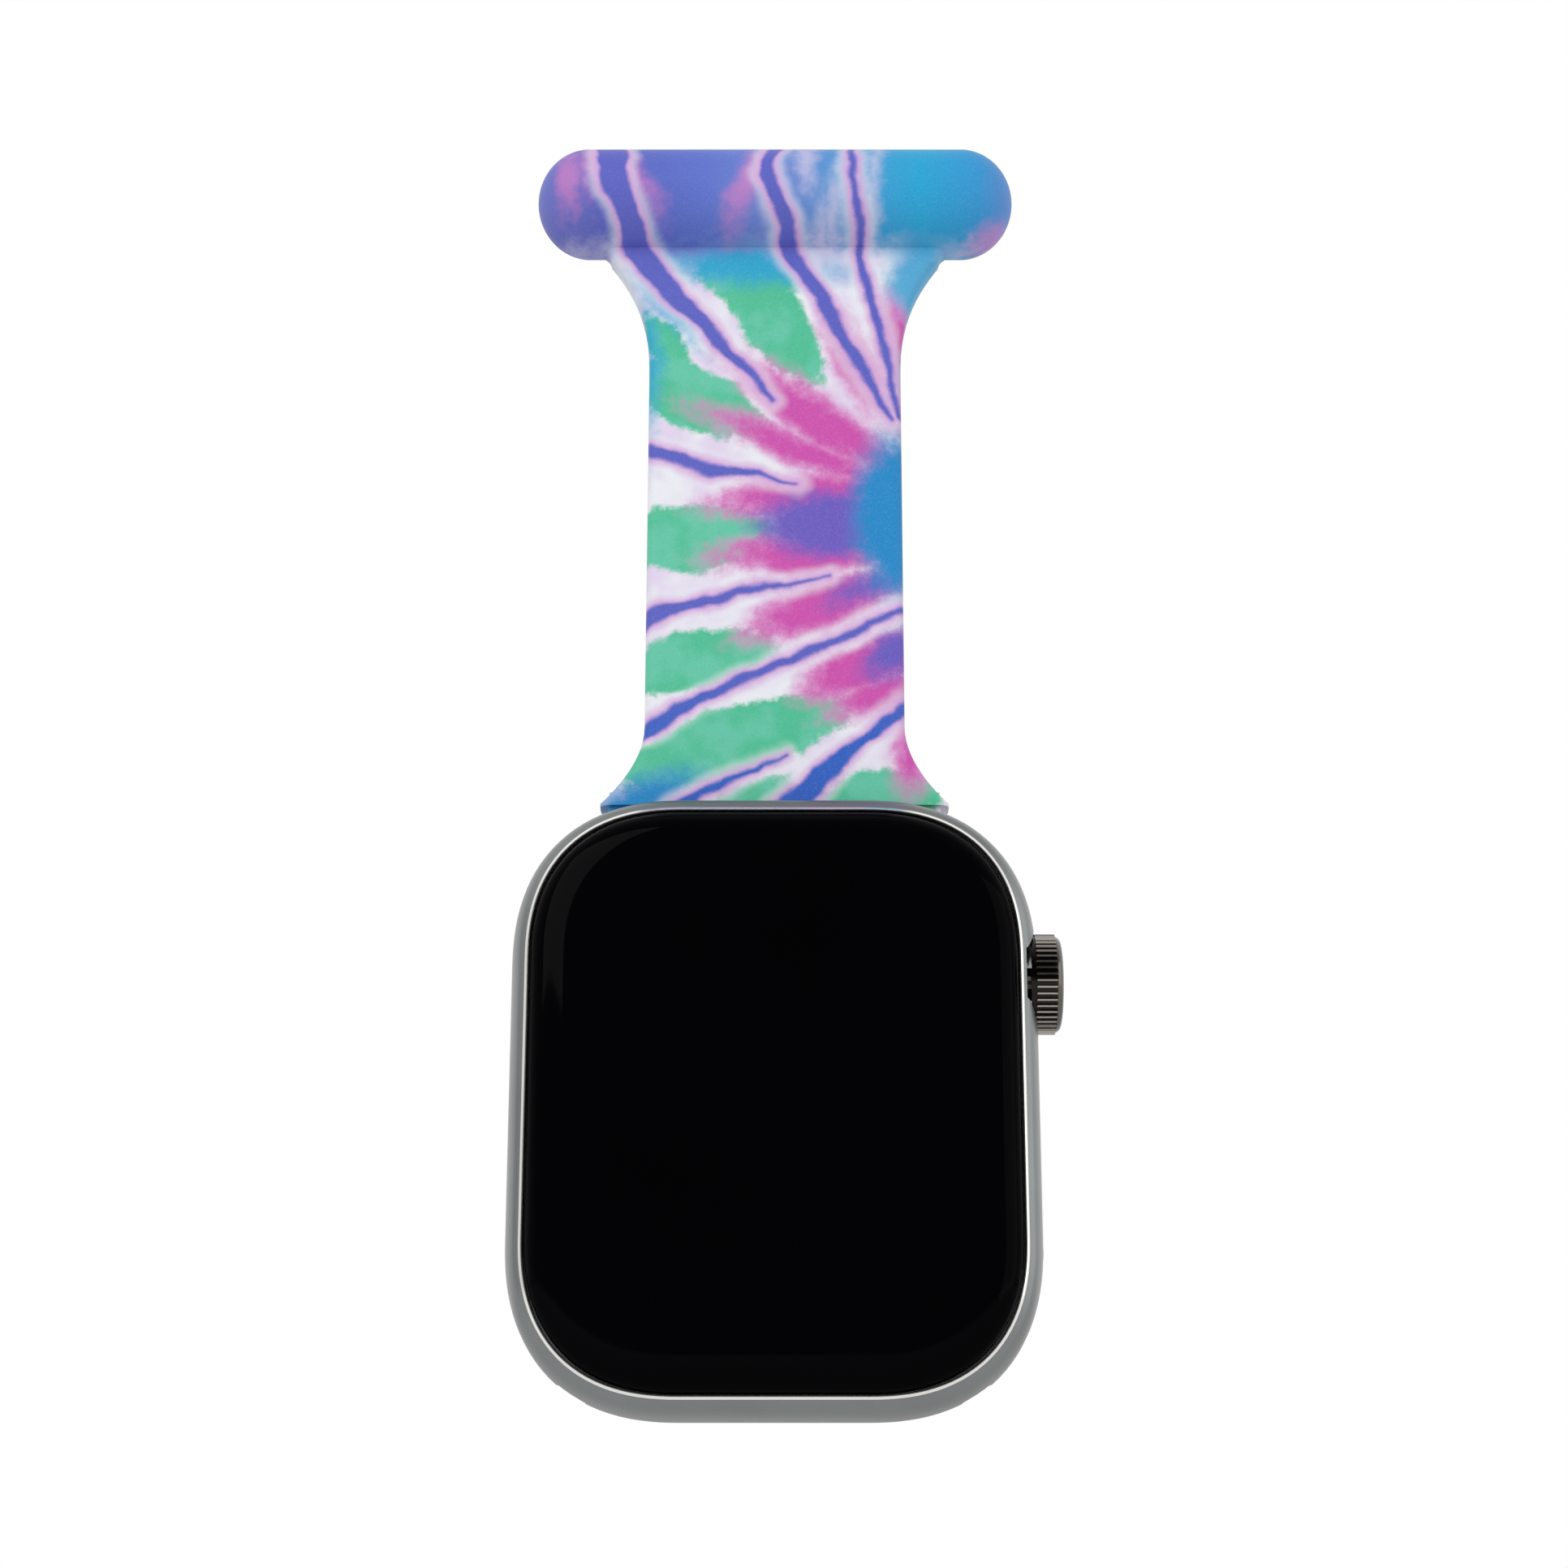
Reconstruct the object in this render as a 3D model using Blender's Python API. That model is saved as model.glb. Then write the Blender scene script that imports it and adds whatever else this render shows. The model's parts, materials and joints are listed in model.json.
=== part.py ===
"""Digital fob watch: a rectangular watch case that hangs from a silicone fob with a brooch pin.

The object hangs upright: +Z up, the screen faces -Y, the crown is on +X, and the origin is the
middle of the closed brooch pin. Driving sizes are in millimetres, and MM turns them into metres.
"""

import math

import bmesh
import bpy
from mathutils import Matrix, Vector

MM = 0.001

# Clearances
SEAT = 0.06  # between pieces that rest on or are glued to each other
RUN = 0.08  # around a shaft, plunger or lock that moves in its hole
SLIP = 0.12  # around the fob's lug in the case's channel

# Watch case, measured across its widest outline
CASE_WIDTH = 38.0
CASE_HEIGHT = 45.0
CASE_DEPTH = 10.7  # front of the glass to the top of the back crystal
CASE_CORNER = 12.5  # extent of a corner along each side
CORNER_POWER = 2.35  # 2 is a round corner, more is squarer
CORNER_STEPS = 9
RIM_DEPTH = 1.3  # from the glass's front down to the case's front rim
BACK_DEPTH = 9.2  # from the glass's front down to the case's flat back
RIM_WIDTH = 1.45  # case outline to glass pocket
LEDGE_DEPTH = 2.05  # where the glass seat lies
POCKET_WALL = 2.6  # case outline to the display pocket
POCKET_FLOOR = 3.6
SIDE_WALL = 2.8  # case outline to the inner cavity, left and right
END_WALL = 1.1  # between the cavity and a band channel
FLOOR_THICKNESS = 1.0
BACK_STEP = 0.7  # depth of the recess that takes the back cover
BACK_OPENING = (13.4, 15.4)  # half sizes of the inner hole in the back
BACK_RECESS = (14.6, 16.6)  # half sizes of the recess round it

# Band channel, a T slot along X in the top and the bottom of the case
CHANNEL_DEPTH = 6.1  # its middle, from the glass's front
THROAT_WIDTH = 2.2
THROAT_HEIGHT = 1.3
UNDERCUT_WIDTH = 3.6
UNDERCUT_HEIGHT = 1.5
UNDERCUT_CHAMFER = 0.35

# Crown and side button, on the right side
CROWN_UP = 9.0  # above the case's middle
CONTROL_DEPTH = 5.0
CROWN_RADIUS = 3.65
CROWN_LENGTH = 2.35
CROWN_TEETH = 48
TOOTH_HEIGHT = 0.14
CROWN_PROUD = 1.8
CROWN_TRAVEL = 0.3
CROWN_RECESS = 3.9  # radius of the scoop round the crown
SHAFT_RADIUS = 1.2
BUSH_RADIUS = 2.2
ENCODER_RADIUS = 1.4
BUTTON_UP = -6.3
BUTTON_LENGTH = 10.2
BUTTON_WIDTH = 2.4
BUTTON_TRAVEL = 0.25
BUTTON_SEAT = 2.0  # case outline to the floor of the button's slot
MIC_UP = 2.4
MIC_RADIUS = 0.4
SPEAKER_SLOTS = (2.6, 7.6)
SPEAKER_SLOT_LENGTH = 4.4
SPEAKER_SLOT_WIDTH = 1.0

# Band release buttons, on the back
RELEASE_LENGTH = 4.4
RELEASE_WIDTH = 1.0
RELEASE_LIP = 0.3  # how far the flange stands out round the button
RELEASE_FLANGE = 0.3
RELEASE_TRAVEL = 0.4

# Back crystal and what it covers
CRYSTAL_RADIUS = 11.4
CRYSTAL_FLANGE = 1.0
FLANGE_THICKNESS = 0.4
COVER_THICKNESS = 0.45

# Silicone fob
STRAP_LENGTH = 54.25  # case top to bar top
STRAP_WIDTH = 19.4
STRAP_THICKNESS = 2.8
SHOULDER_WIDTH = 25.8
SHOULDER_FLARE = 6.0
SHOULDER_EDGE = 0.25  # its straight edge, which meets the case
NECK_WIDTH = 25.6
NECK_FLARE = 10.2
SHOULDER_POWER = 1.9  # how late each flare opens out
NECK_POWER = 2.6
FLARE_STEPS = 8
STRAP_EDGE = 0.7
BAR_LENGTH = 37.2
BAR_RADIUS = 4.3
BAR_SET_FORWARD = 0.4  # bar's axis in front of the strap's middle
SLEEVE_DEPTH = 5.7  # pin axis to the floor of the brooch's pocket
SLEEVE_LENGTH = 30.4
SLEEVE_HEIGHT = 5.8

# Brooch
PLATE_THICKNESS = 0.8
PLATE_MARGIN = 0.3  # plate's edge to the pocket's wall
PIN_RADIUS = 0.45
PIN_POINT = 2.0
PIVOT_X = -12.5
EYE_RADIUS = 1.0
EYE_THICKNESS = 1.3
EAR_THICKNESS = 0.6
RIVET_RADIUS = 0.42
RIVET_HEAD = 0.8
CATCH_X = 12.0
CATCH_LENGTH = 2.8
CATCH_CHEEK = 0.5
HOOK_INNER = 0.62
HOOK_OUTER = 0.92
CHEEK_RADIUS = 1.75
CHEEK_INNER = 0.58
LOCK_OUTER = 1.5
LOCK_TAB = 2.35

# Lug
TONGUE_HALF = 9.0
TONGUE_THICKNESS = 0.9
TONGUE_LENGTH = 5.0  # above the case's top
LEAF_HALF = 4.2
LEAF_THICKNESS = 0.2
NOSE_HALF = 1.5
NOSE_HEIGHT = 0.7

# Mid plate and its screws
PLATE_NEAR = 6.5
PLATE_SHEET = 0.3
BOSS_RADIUS = 1.25
SCREW_RADIUS = 0.5
SCREW_HEAD = 0.95
SCREW_LENGTH = 1.5
SCREW_X = 14.6
SCREW_UP = 13.0

# Side button's plunger
PLUNGER_LENGTH = 3.0
PLUNGER_WIDTH = 1.6

# Where the case hangs
STRAP_Y = -5.0  # middle of the strap and of the lug
FRONT_Y = STRAP_Y - CHANNEL_DEPTH
CASE_Z = BAR_RADIUS - STRAP_LENGTH - CASE_HEIGHT / 2
CAVITY_HALF_X = CASE_WIDTH / 2 - SIDE_WALL
CHANNEL_HEIGHT = THROAT_HEIGHT + UNDERCUT_HEIGHT
CAVITY_HALF_Z = CASE_HEIGHT / 2 - CHANNEL_HEIGHT - END_WALL
CAVITY_FLOOR = BACK_DEPTH - FLOOR_THICKNESS
GLASS_HALF_X = CASE_WIDTH / 2 - RIM_WIDTH
GLASS_HALF_Z = CASE_HEIGHT / 2 - RIM_WIDTH


# ---------------------------------------------------------------- helpers


def clear_scene():
    for obj in list(bpy.data.objects):
        bpy.data.objects.remove(obj)


def material(name, colour, roughness, metallic=0.0):
    made = bpy.data.materials.get(name)
    if made is None:
        made = bpy.data.materials.new(name)
        made.use_nodes = True
        shader = made.node_tree.nodes["Principled BSDF"]
        shader.inputs["Base Color"].default_value = (*colour, 1.0)
        shader.inputs["Roughness"].default_value = roughness
        shader.inputs["Metallic"].default_value = metallic
    return made


def aluminium():
    return material("satin_aluminium", (0.62, 0.63, 0.63), 0.35, 1.0)


def steel():
    return material("polished_steel", (0.55, 0.55, 0.54), 0.18, 1.0)


def spring_steel():
    return material("spring_steel", (0.45, 0.45, 0.46), 0.3, 1.0)


def silicone():
    return material("printed_silicone", (0.45, 0.55, 0.8), 0.55)


def rubber():
    return material("seal_rubber", (0.03, 0.03, 0.03), 0.7)


def black_glass():
    return material("black_glass", (0.005, 0.005, 0.006), 0.05)


def ceramic():
    return material("back_ceramic", (0.05, 0.05, 0.055), 0.2)


def circuit():
    return material("circuit_board", (0.02, 0.09, 0.05), 0.5)


def component():
    return material("component_black", (0.02, 0.02, 0.022), 0.5)


def copper():
    return material("copper_winding", (0.72, 0.35, 0.18), 0.35, 1.0)


def battery_foil():
    return material("battery_foil", (0.08, 0.08, 0.09), 0.4)


def new_object(name, shape, finish):
    """A scene object from a bmesh in millimetres. With no finish it is a helper for a Boolean."""
    bmesh.ops.scale(shape, vec=(MM, MM, MM), verts=shape.verts)
    bmesh.ops.recalc_face_normals(shape, faces=shape.faces)
    mesh = bpy.data.meshes.new(name)
    shape.to_mesh(mesh)
    shape.free()
    obj = bpy.data.objects.new(name, mesh)
    bpy.context.scene.collection.objects.link(obj)
    if finish is None:
        obj.hide_render = True
        obj.display_type = "WIRE"
    else:
        mesh.materials.append(finish)
        mesh.shade_smooth()
        mesh.set_sharp_from_angle(angle=math.radians(32))
    return obj


def boolean(obj, others, operation):
    word = operation.lower()
    group = bpy.data.collections.new(f"{obj.name}_{word}")
    for other in others:
        group.objects.link(other)
    modifier = obj.modifiers.new(word, "BOOLEAN")
    modifier.operation = operation
    modifier.solver = "EXACT"
    modifier.operand_type = "COLLECTION"
    modifier.collection = group
    return obj


def cut(obj, *cutters):
    return boolean(obj, cutters, "DIFFERENCE")


def join(obj, *others):
    return boolean(obj, others, "UNION")


def carry(point, name, *pieces):
    """An empty on a joint's axis that carries the pieces which move on it."""
    empty = bpy.data.objects.new(name, None)
    empty.location = Vector(point) * MM
    empty.empty_display_size = 2 * MM
    bpy.context.scene.collection.objects.link(empty)
    for piece in pieces:
        piece.parent = empty
        piece.matrix_parent_inverse = Matrix.Translation(-empty.location)
    return empty


def loft(name, loops, finish, ring=False):
    """A skin through loops of equally many points. A ring closes on its first loop, others are capped."""
    shape = bmesh.new()
    rows = [[shape.verts.new(point) for point in loop] for loop in loops]
    pairs = list(zip(rows, rows[1:]))
    if ring:
        pairs.append((rows[-1], rows[0]))
    count = len(rows[0])
    for first, second in pairs:
        for i in range(count):
            j = (i + 1) % count
            shape.faces.new((first[i], first[j], second[j], second[i]))
    if not ring:
        shape.faces.new(rows[0])
        shape.faces.new(rows[-1])
    return new_object(name, shape, finish)


def prism(name, outline, finish):
    """outline is a pair of loops, the two ends of a straight extrusion."""
    return loft(name, outline, finish)


def block(name, low, high, finish):
    size = Vector(high) - Vector(low)
    shape = bmesh.new()
    bmesh.ops.create_cube(shape, size=1.0)
    bmesh.ops.scale(shape, vec=size, verts=shape.verts)
    bmesh.ops.translate(shape, vec=Vector(low) + size / 2, verts=shape.verts)
    return new_object(name, shape, finish)


def lathe(name, profile, centre, axis, finish, steps=32, closed=False):
    """Spins (radius, distance along axis) points round an axis through centre: X, Y or Z."""
    along = Vector([letter == axis for letter in "XYZ"])
    across = Vector((0, 1, 0)) if axis == "X" else Vector((1, 0, 0))
    shape = bmesh.new()
    points = [Vector(centre) + across * r + along * d for r, d in profile]
    verts = [shape.verts.new(point) for point in points]
    edges = [shape.edges.new(pair) for pair in zip(verts, verts[1:])]
    if closed:
        edges.append(shape.edges.new((verts[-1], verts[0])))
    bmesh.ops.spin(
        shape,
        geom=verts + edges,
        cent=centre,
        axis=along,
        angle=math.tau,
        steps=steps,
        use_merge=True,
    )
    bmesh.ops.remove_doubles(shape, verts=shape.verts, dist=1e-3)
    return new_object(name, shape, finish)


def cylinder(name, centre, axis, radius, low, high, finish, steps=32):
    return lathe(
        name, [(0, low), (radius, low), (radius, high), (0, high)], centre, axis, finish, steps
    )


def tube(name, centre, axis, inner, outer, low, high, finish, steps=32):
    profile = [(inner, low), (outer, low), (outer, high), (inner, high)]
    return lathe(name, profile, centre, axis, finish, steps, closed=True)


def place(x, depth, up):
    """A point of the watch case: depth behind the front of the glass, up from the case's middle."""
    return Vector((x, FRONT_Y + depth, CASE_Z + up))


def case_block(name, x, depth, up, finish):
    """A block in the case, from (low, high) ranges."""
    return block(name, place(x[0], depth[0], up[0]), place(x[1], depth[1], up[1]), finish)


def rounded(half_x, half_z, corner, steps=CORNER_STEPS, power=CORNER_POWER):
    """Outline of a rectangle with superelliptic corners, as (x, z) points."""
    points = []
    for sign_x, sign_z, start in ((1, 1, 0), (-1, 1, 1), (-1, -1, 2), (1, -1, 3)):
        for i in range(steps + 1):
            angle = (start + i / steps) * math.pi / 2
            across = abs(math.cos(angle)) ** (2 / power)
            upward = abs(math.sin(angle)) ** (2 / power)
            x = half_x - corner + corner * across
            z = half_z - corner + corner * upward
            points.append((sign_x * x, sign_z * z))
    return points


def case_loop(half_x, half_z, corner, depth):
    return [place(x, depth, z) for x, z in rounded(half_x, half_z, corner)]


def case_offset(inset, depth):
    """The case's own outline, drawn in by inset."""
    return case_loop(
        CASE_WIDTH / 2 - inset, CASE_HEIGHT / 2 - inset, CASE_CORNER - inset, depth
    )


def plate(name, half_x, half_z, corner, near, far, finish):
    """A flat rounded plate in the case."""
    loops = [case_loop(half_x, half_z, corner, depth) for depth in (near, far)]
    return loft(name, loops, finish)


def frame_ring(name, inner, outer, near, far, finish):
    """A flat frame between two rounded outlines, each (half x, half z, corner)."""
    loops = [case_loop(*size, depth) for size, depth in (
        (inner, near), (outer, near), (outer, far), (inner, far)
    )]
    return loft(name, loops, finish, ring=True)


def stadium(length, width, steps=6):
    """Outline of a slot with round ends, as (along, across) points."""
    radius = width / 2
    straight = length / 2 - radius
    points = []
    for end, start in ((1, -90), (-1, 90)):
        for i in range(steps + 1):
            angle = math.radians(start + 180 * i / steps)
            points.append((end * straight + radius * math.cos(angle), radius * math.sin(angle)))
    return points


def side_slot(name, up, length, width, near_x, far_x, finish, depth=CONTROL_DEPTH):
    """A slot-shaped prism through the case's side, running along X."""
    loops = [
        [place(x, depth + across, up + along) for along, across in stadium(length, width)]
        for x in (near_x, far_x)
    ]
    return prism(name, loops, finish)


def back_slot(name, up, length, width, near, far, finish):
    """A slot-shaped prism through the case's back, running along Y."""
    loops = [
        [place(along, depth, up + across) for along, across in stadium(length, width)]
        for depth in (near, far)
    ]
    return prism(name, loops, finish)


# ---------------------------------------------------------------- watch case


def channel_section(side, spare):
    """The T slot's section as (depth, up) points. spare makes it smaller all round, for the lug."""
    throat = THROAT_WIDTH / 2 - spare
    wide = UNDERCUT_WIDTH / 2 - spare
    top = CASE_HEIGHT / 2
    shelf = top - THROAT_HEIGHT - spare
    floor = top - CHANNEL_HEIGHT + spare
    mouth = top + 1.0
    half = [
        (throat, mouth),
        (throat, shelf),
        (wide, shelf),
        (wide, floor + UNDERCUT_CHAMFER),
        (wide - UNDERCUT_CHAMFER, floor),
    ]
    points = half + [(-across, up) for across, up in reversed(half)]
    return [(CHANNEL_DEPTH + across, side * up) for across, up in points]


def channel_cutter(side):
    reach = CASE_WIDTH / 2 + 1.0
    loops = [
        [place(x, depth, up) for depth, up in channel_section(side, 0.0)] for x in (-reach, reach)
    ]
    return prism("channel_cutter_" + ("upper" if side > 0 else "lower"), loops, None)


def release_up(side):
    """Height of a release button: the middle of the channel's undercut."""
    return side * (CASE_HEIGHT / 2 - THROAT_HEIGHT - UNDERCUT_HEIGHT / 2)


def case_body():
    cavity = (CAVITY_HALF_X, CAVITY_HALF_Z, CASE_CORNER - SIDE_WALL - 1.0)
    pocket = (
        CASE_WIDTH / 2 - POCKET_WALL,
        CASE_HEIGHT / 2 - POCKET_WALL,
        CASE_CORNER - POCKET_WALL,
    )
    glass = (GLASS_HALF_X, GLASS_HALF_Z, CASE_CORNER - RIM_WIDTH)
    outside = (
        (RIM_WIDTH - 0.25, RIM_DEPTH - 0.05),
        (0.55, 1.8),
        (0.2, 2.8),
        (0.0, CONTROL_DEPTH - 0.6),
        (0.0, CONTROL_DEPTH + 0.6),
        (0.12, 6.6),
        (0.45, 7.6),
        (1.0, 8.4),
        (1.75, 8.98),
        (2.6, BACK_DEPTH),
    )
    loops = [case_offset(inset, depth) for inset, depth in outside]
    loops += [
        case_loop(*BACK_RECESS, 8.0, BACK_DEPTH),
        case_loop(*BACK_RECESS, 8.0, BACK_DEPTH - BACK_STEP),
        case_loop(*BACK_OPENING, 7.0, BACK_DEPTH - BACK_STEP),
        case_loop(*BACK_OPENING, 7.0, CAVITY_FLOOR),
        case_loop(*cavity, CAVITY_FLOOR),
        case_loop(*cavity, POCKET_FLOOR),
        case_loop(*pocket, POCKET_FLOOR),
        case_loop(*pocket, LEDGE_DEPTH),
        case_loop(*glass, LEDGE_DEPTH),
        case_loop(*glass, RIM_DEPTH + 0.1),
    ]
    body = loft("case_body", loops, aluminium(), ring=True)

    join(body, *[
        cylinder(f"boss_{i}", place(x, 0, up), "Y", BOSS_RADIUS, PLATE_FAR + SEAT, BACK_DEPTH - 0.8, None, 16)
        for i, (x, up) in enumerate(SCREWS)
    ])
    crown_centre = place(0, CONTROL_DEPTH, CROWN_UP)
    outer_x = CASE_WIDTH / 2
    seat_x = outer_x - BUTTON_SEAT
    cutters = [channel_cutter(side) for side in (1, -1)]
    cutters += [
        cylinder("crown_recess", crown_centre, "X", CROWN_RECESS, CROWN_FACE_X, outer_x + 1, None, 40),
        cylinder("crown_bore", crown_centre, "X", BUSH_RADIUS + SEAT, CAVITY_HALF_X - 1, outer_x, None),
        side_slot("button_slot", BUTTON_UP, BUTTON_LENGTH + 2 * RUN, BUTTON_WIDTH + 2 * RUN,
                  seat_x, outer_x + 1, None),
        side_slot("plunger_hole", BUTTON_UP, PLUNGER_LENGTH + 2 * RUN, PLUNGER_WIDTH + 2 * RUN,
                  CAVITY_HALF_X - 1, outer_x, None),
        cylinder("mic_hole", place(0, CONTROL_DEPTH, MIC_UP), "X", MIC_RADIUS,
                 CAVITY_HALF_X - 1, outer_x + 1, None, 16),
    ]
    cutters += [
        side_slot(f"speaker_slot_{i}", up, SPEAKER_SLOT_LENGTH, SPEAKER_SLOT_WIDTH,
                  -outer_x - 1, -CAVITY_HALF_X + 1, None)
        for i, up in enumerate(SPEAKER_SLOTS)
    ]
    cutters += [
        cylinder(f"screw_hole_{i}", place(x, 0, up), "Y", SCREW_RADIUS + SEAT, PLATE_FAR - 0.5,
                 PLATE_FAR + SCREW_LENGTH - 0.2, None, 16)
        for i, (x, up) in enumerate(SCREWS)
    ]
    for side, word in ((1, "upper"), (-1, "lower")):
        up = release_up(side)
        cutters += [
            back_slot(f"{word}_release_hole", up, RELEASE_LENGTH + 2 * RUN, RELEASE_WIDTH + 2 * RUN,
                      CHANNEL_BACK - 0.3, BACK_DEPTH + 1, None),
            back_slot(f"{word}_flange_hole", up, RELEASE_LENGTH + 2 * RELEASE_LIP + 2 * RUN,
                      RELEASE_WIDTH + 2 * RELEASE_LIP + 2 * RUN, CHANNEL_BACK - 0.3, FLANGE_SEAT, None),
        ]
    cut(body, *cutters)
    return body


# Places that several pieces share, worked out from the sizes above
CROWN_FACE_X = CASE_WIDTH / 2 - 0.9  # floor of the recess round the crown
CROWN_BACK_X = CASE_WIDTH / 2 + CROWN_PROUD - CROWN_LENGTH
CROWN_END_X = CASE_WIDTH / 2 + CROWN_PROUD
CHANNEL_BACK = CHANNEL_DEPTH + UNDERCUT_WIDTH / 2
FLANGE_SEAT = CHANNEL_BACK + RELEASE_FLANGE + RELEASE_TRAVEL + 0.05
DISPLAY_NEAR = LEDGE_DEPTH - 0.2
DISPLAY_FAR = DISPLAY_NEAR + 0.9
GLASS_UNDERSIDE = LEDGE_DEPTH - 0.28
STACK_NEAR = DISPLAY_FAR + 0.5
PLATE_FAR = PLATE_NEAR + PLATE_SHEET
TONGUE_TOP = CASE_HEIGHT / 2 + TONGUE_LENGTH
SCREWS = [(x, up) for x in (-SCREW_X, SCREW_X) for up in (-SCREW_UP, SCREW_UP)]


def front_glass():
    """Cover glass whose front is flat in the middle and rolls down to the rim."""
    half_x, half_z = GLASS_HALF_X - RUN, GLASS_HALF_Z - RUN
    corner = CASE_CORNER - RIM_WIDTH - RUN
    roll = ((0.0, RIM_DEPTH), (0.25, 0.95), (0.75, 0.55), (1.5, 0.24), (2.6, 0.06), (4.2, 0.0))
    loops = [case_loop(half_x, half_z, corner, GLASS_UNDERSIDE)]
    loops += [case_loop(half_x - i, half_z - i, corner - i, depth) for i, depth in roll]
    return loft("cover_glass", loops, black_glass())


def display_parts():
    inner = (CASE_WIDTH / 2 - POCKET_WALL + 0.1, CASE_HEIGHT / 2 - POCKET_WALL + 0.1, 9.9)
    outer = (GLASS_HALF_X - 0.25, GLASS_HALF_Z - 0.25, CASE_CORNER - RIM_WIDTH - 0.25)
    frame_ring("glass_seal", inner, outer, GLASS_UNDERSIDE + SEAT, LEDGE_DEPTH - SEAT, rubber())
    half_x = CASE_WIDTH / 2 - POCKET_WALL - 0.3
    half_z = CASE_HEIGHT / 2 - POCKET_WALL - 0.3
    plate("display_panel", half_x, half_z, 9.3, DISPLAY_NEAR, DISPLAY_FAR, component())
    case_block("display_connector", (-5, 3), (DISPLAY_FAR + SEAT, STACK_NEAR - SEAT), (13, 16), circuit())


def mid_plate():
    """Steel plate that carries the battery and the board, and is screwed to four bosses."""
    obj = plate("mid_plate", CAVITY_HALF_X - 0.2, CAVITY_HALF_Z - 0.2, 8.5, PLATE_NEAR, PLATE_FAR, steel())
    cut(obj, *[
        cylinder(f"plate_hole_{i}", place(x, 0, up), "Y", SCREW_RADIUS + SEAT, 6, 7.5, None, 16)
        for i, (x, up) in enumerate(SCREWS)
    ])
    for i, (x, up) in enumerate(SCREWS):
        head = PLATE_NEAR - SEAT
        profile = [
            (0, head - 0.45), (SCREW_HEAD, head - 0.45), (SCREW_HEAD, head),
            (SCREW_RADIUS, head), (SCREW_RADIUS, head + SCREW_LENGTH), (0, head + SCREW_LENGTH),
        ]
        lathe(f"plate_screw_{i + 1}", profile, place(x, 0, up), "Y", steel(), 16)


def electronics():
    near, far = STACK_NEAR, PLATE_NEAR - SEAT
    case_block("battery", (-9.6, 12.4), (near, far), (-17.0, 0.4), battery_foil())
    board_near = far - 0.8
    case_block("logic_board", (-9.6, 8.4), (board_near, far), (1.0, 18.0), circuit())
    case_block("board_shield", (-8.8, 7.6), (near, board_near - SEAT), (1.8, 17.2), steel())
    case_block("haptic_motor", (-15.9, -10.2), (near, far), (-11.6, -0.4), steel())
    case_block("speaker", (-15.7, -10.4), (near, far), (0.4, 11.4), component())
    across = (-CAVITY_HALF_X + SEAT, -15.7 - SEAT)
    case_block("speaker_grille", across, (4.0, 6.0), (0.2, 9.8), spring_steel())
    case_block("microphone", (14.9, CAVITY_HALF_X - SEAT), (4.0, 6.0), (1.2, 3.6), spring_steel())


def back_parts():
    cover_far = BACK_DEPTH
    cover_near = cover_far - COVER_THICKNESS
    half_x, half_z = BACK_RECESS[0] - RUN, BACK_RECESS[1] - RUN
    cover = plate("back_cover", half_x, half_z, 8.0 - RUN, cover_near, cover_far, ceramic())
    centre = place(0, 0, 0)
    hole_radius = CRYSTAL_RADIUS + RUN
    cut(cover, cylinder("crystal_hole", centre, "Y", hole_radius, cover_near - 1, cover_far + 1, None, 48))
    step = BACK_DEPTH - BACK_STEP
    frame_ring("back_seal", (*BACK_OPENING, 7.0), (half_x, half_z, 8.0 - RUN),
               step + SEAT, cover_near - SEAT, rubber())

    flange_far = cover_near - SEAT
    flange_near = flange_far - FLANGE_THICKNESS
    outer = CRYSTAL_RADIUS + CRYSTAL_FLANGE
    rise = CASE_DEPTH - cover_far
    dome = [(CRYSTAL_RADIUS * math.sin(a), cover_far + rise * (1 - (1 - math.cos(a)) ** 1.5))
            for a in (math.pi / 2 * (1 - i / 7) for i in range(8))]
    flange = [(0, flange_near), (outer, flange_near), (outer, flange_far), (CRYSTAL_RADIUS, flange_far)]
    profile = flange + dome
    lathe("back_crystal", profile, centre, "Y", black_glass(), 48)

    chip_far = flange_near - SEAT
    chip_near = chip_far - 0.35
    board_far = chip_near - SEAT
    board_near = board_far - 0.3
    tube("charging_coil", centre, "Y", 6.8, 10.8, board_near, chip_far, copper(), 40)
    cylinder("sensor_board", centre, "Y", 6.4, board_near, board_far, circuit(), 32)
    cylinder("ferrite_shield", centre, "Y", 11.0, PLATE_FAR + SEAT, board_near - SEAT, component(), 40)
    case_block("sensor_lamp", (-1.1, 1.1), (chip_near, chip_far), (-1.1, 1.1), component())
    for i in range(4):
        angle = math.radians(45 + 90 * i)
        x, up = 3.6 * math.cos(angle), 3.6 * math.sin(angle)
        across, along = (x - 0.9, x + 0.9), (up - 0.9, up + 0.9)
        case_block(f"photodiode_{i + 1}", across, (chip_near, chip_far), along, component())


# ---------------------------------------------------------------- crown and buttons


def knurled_loop(radius, x):
    """A loop round the crown's axis, with a point on each tooth's top and root."""
    points = []
    for i in range(2 * CROWN_TEETH):
        angle = math.tau * i / (2 * CROWN_TEETH)
        reach = radius - (TOOTH_HEIGHT if i % 2 else 0.0)
        points.append(place(x, CONTROL_DEPTH + reach * math.sin(angle), CROWN_UP + reach * math.cos(angle)))
    return points


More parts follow.
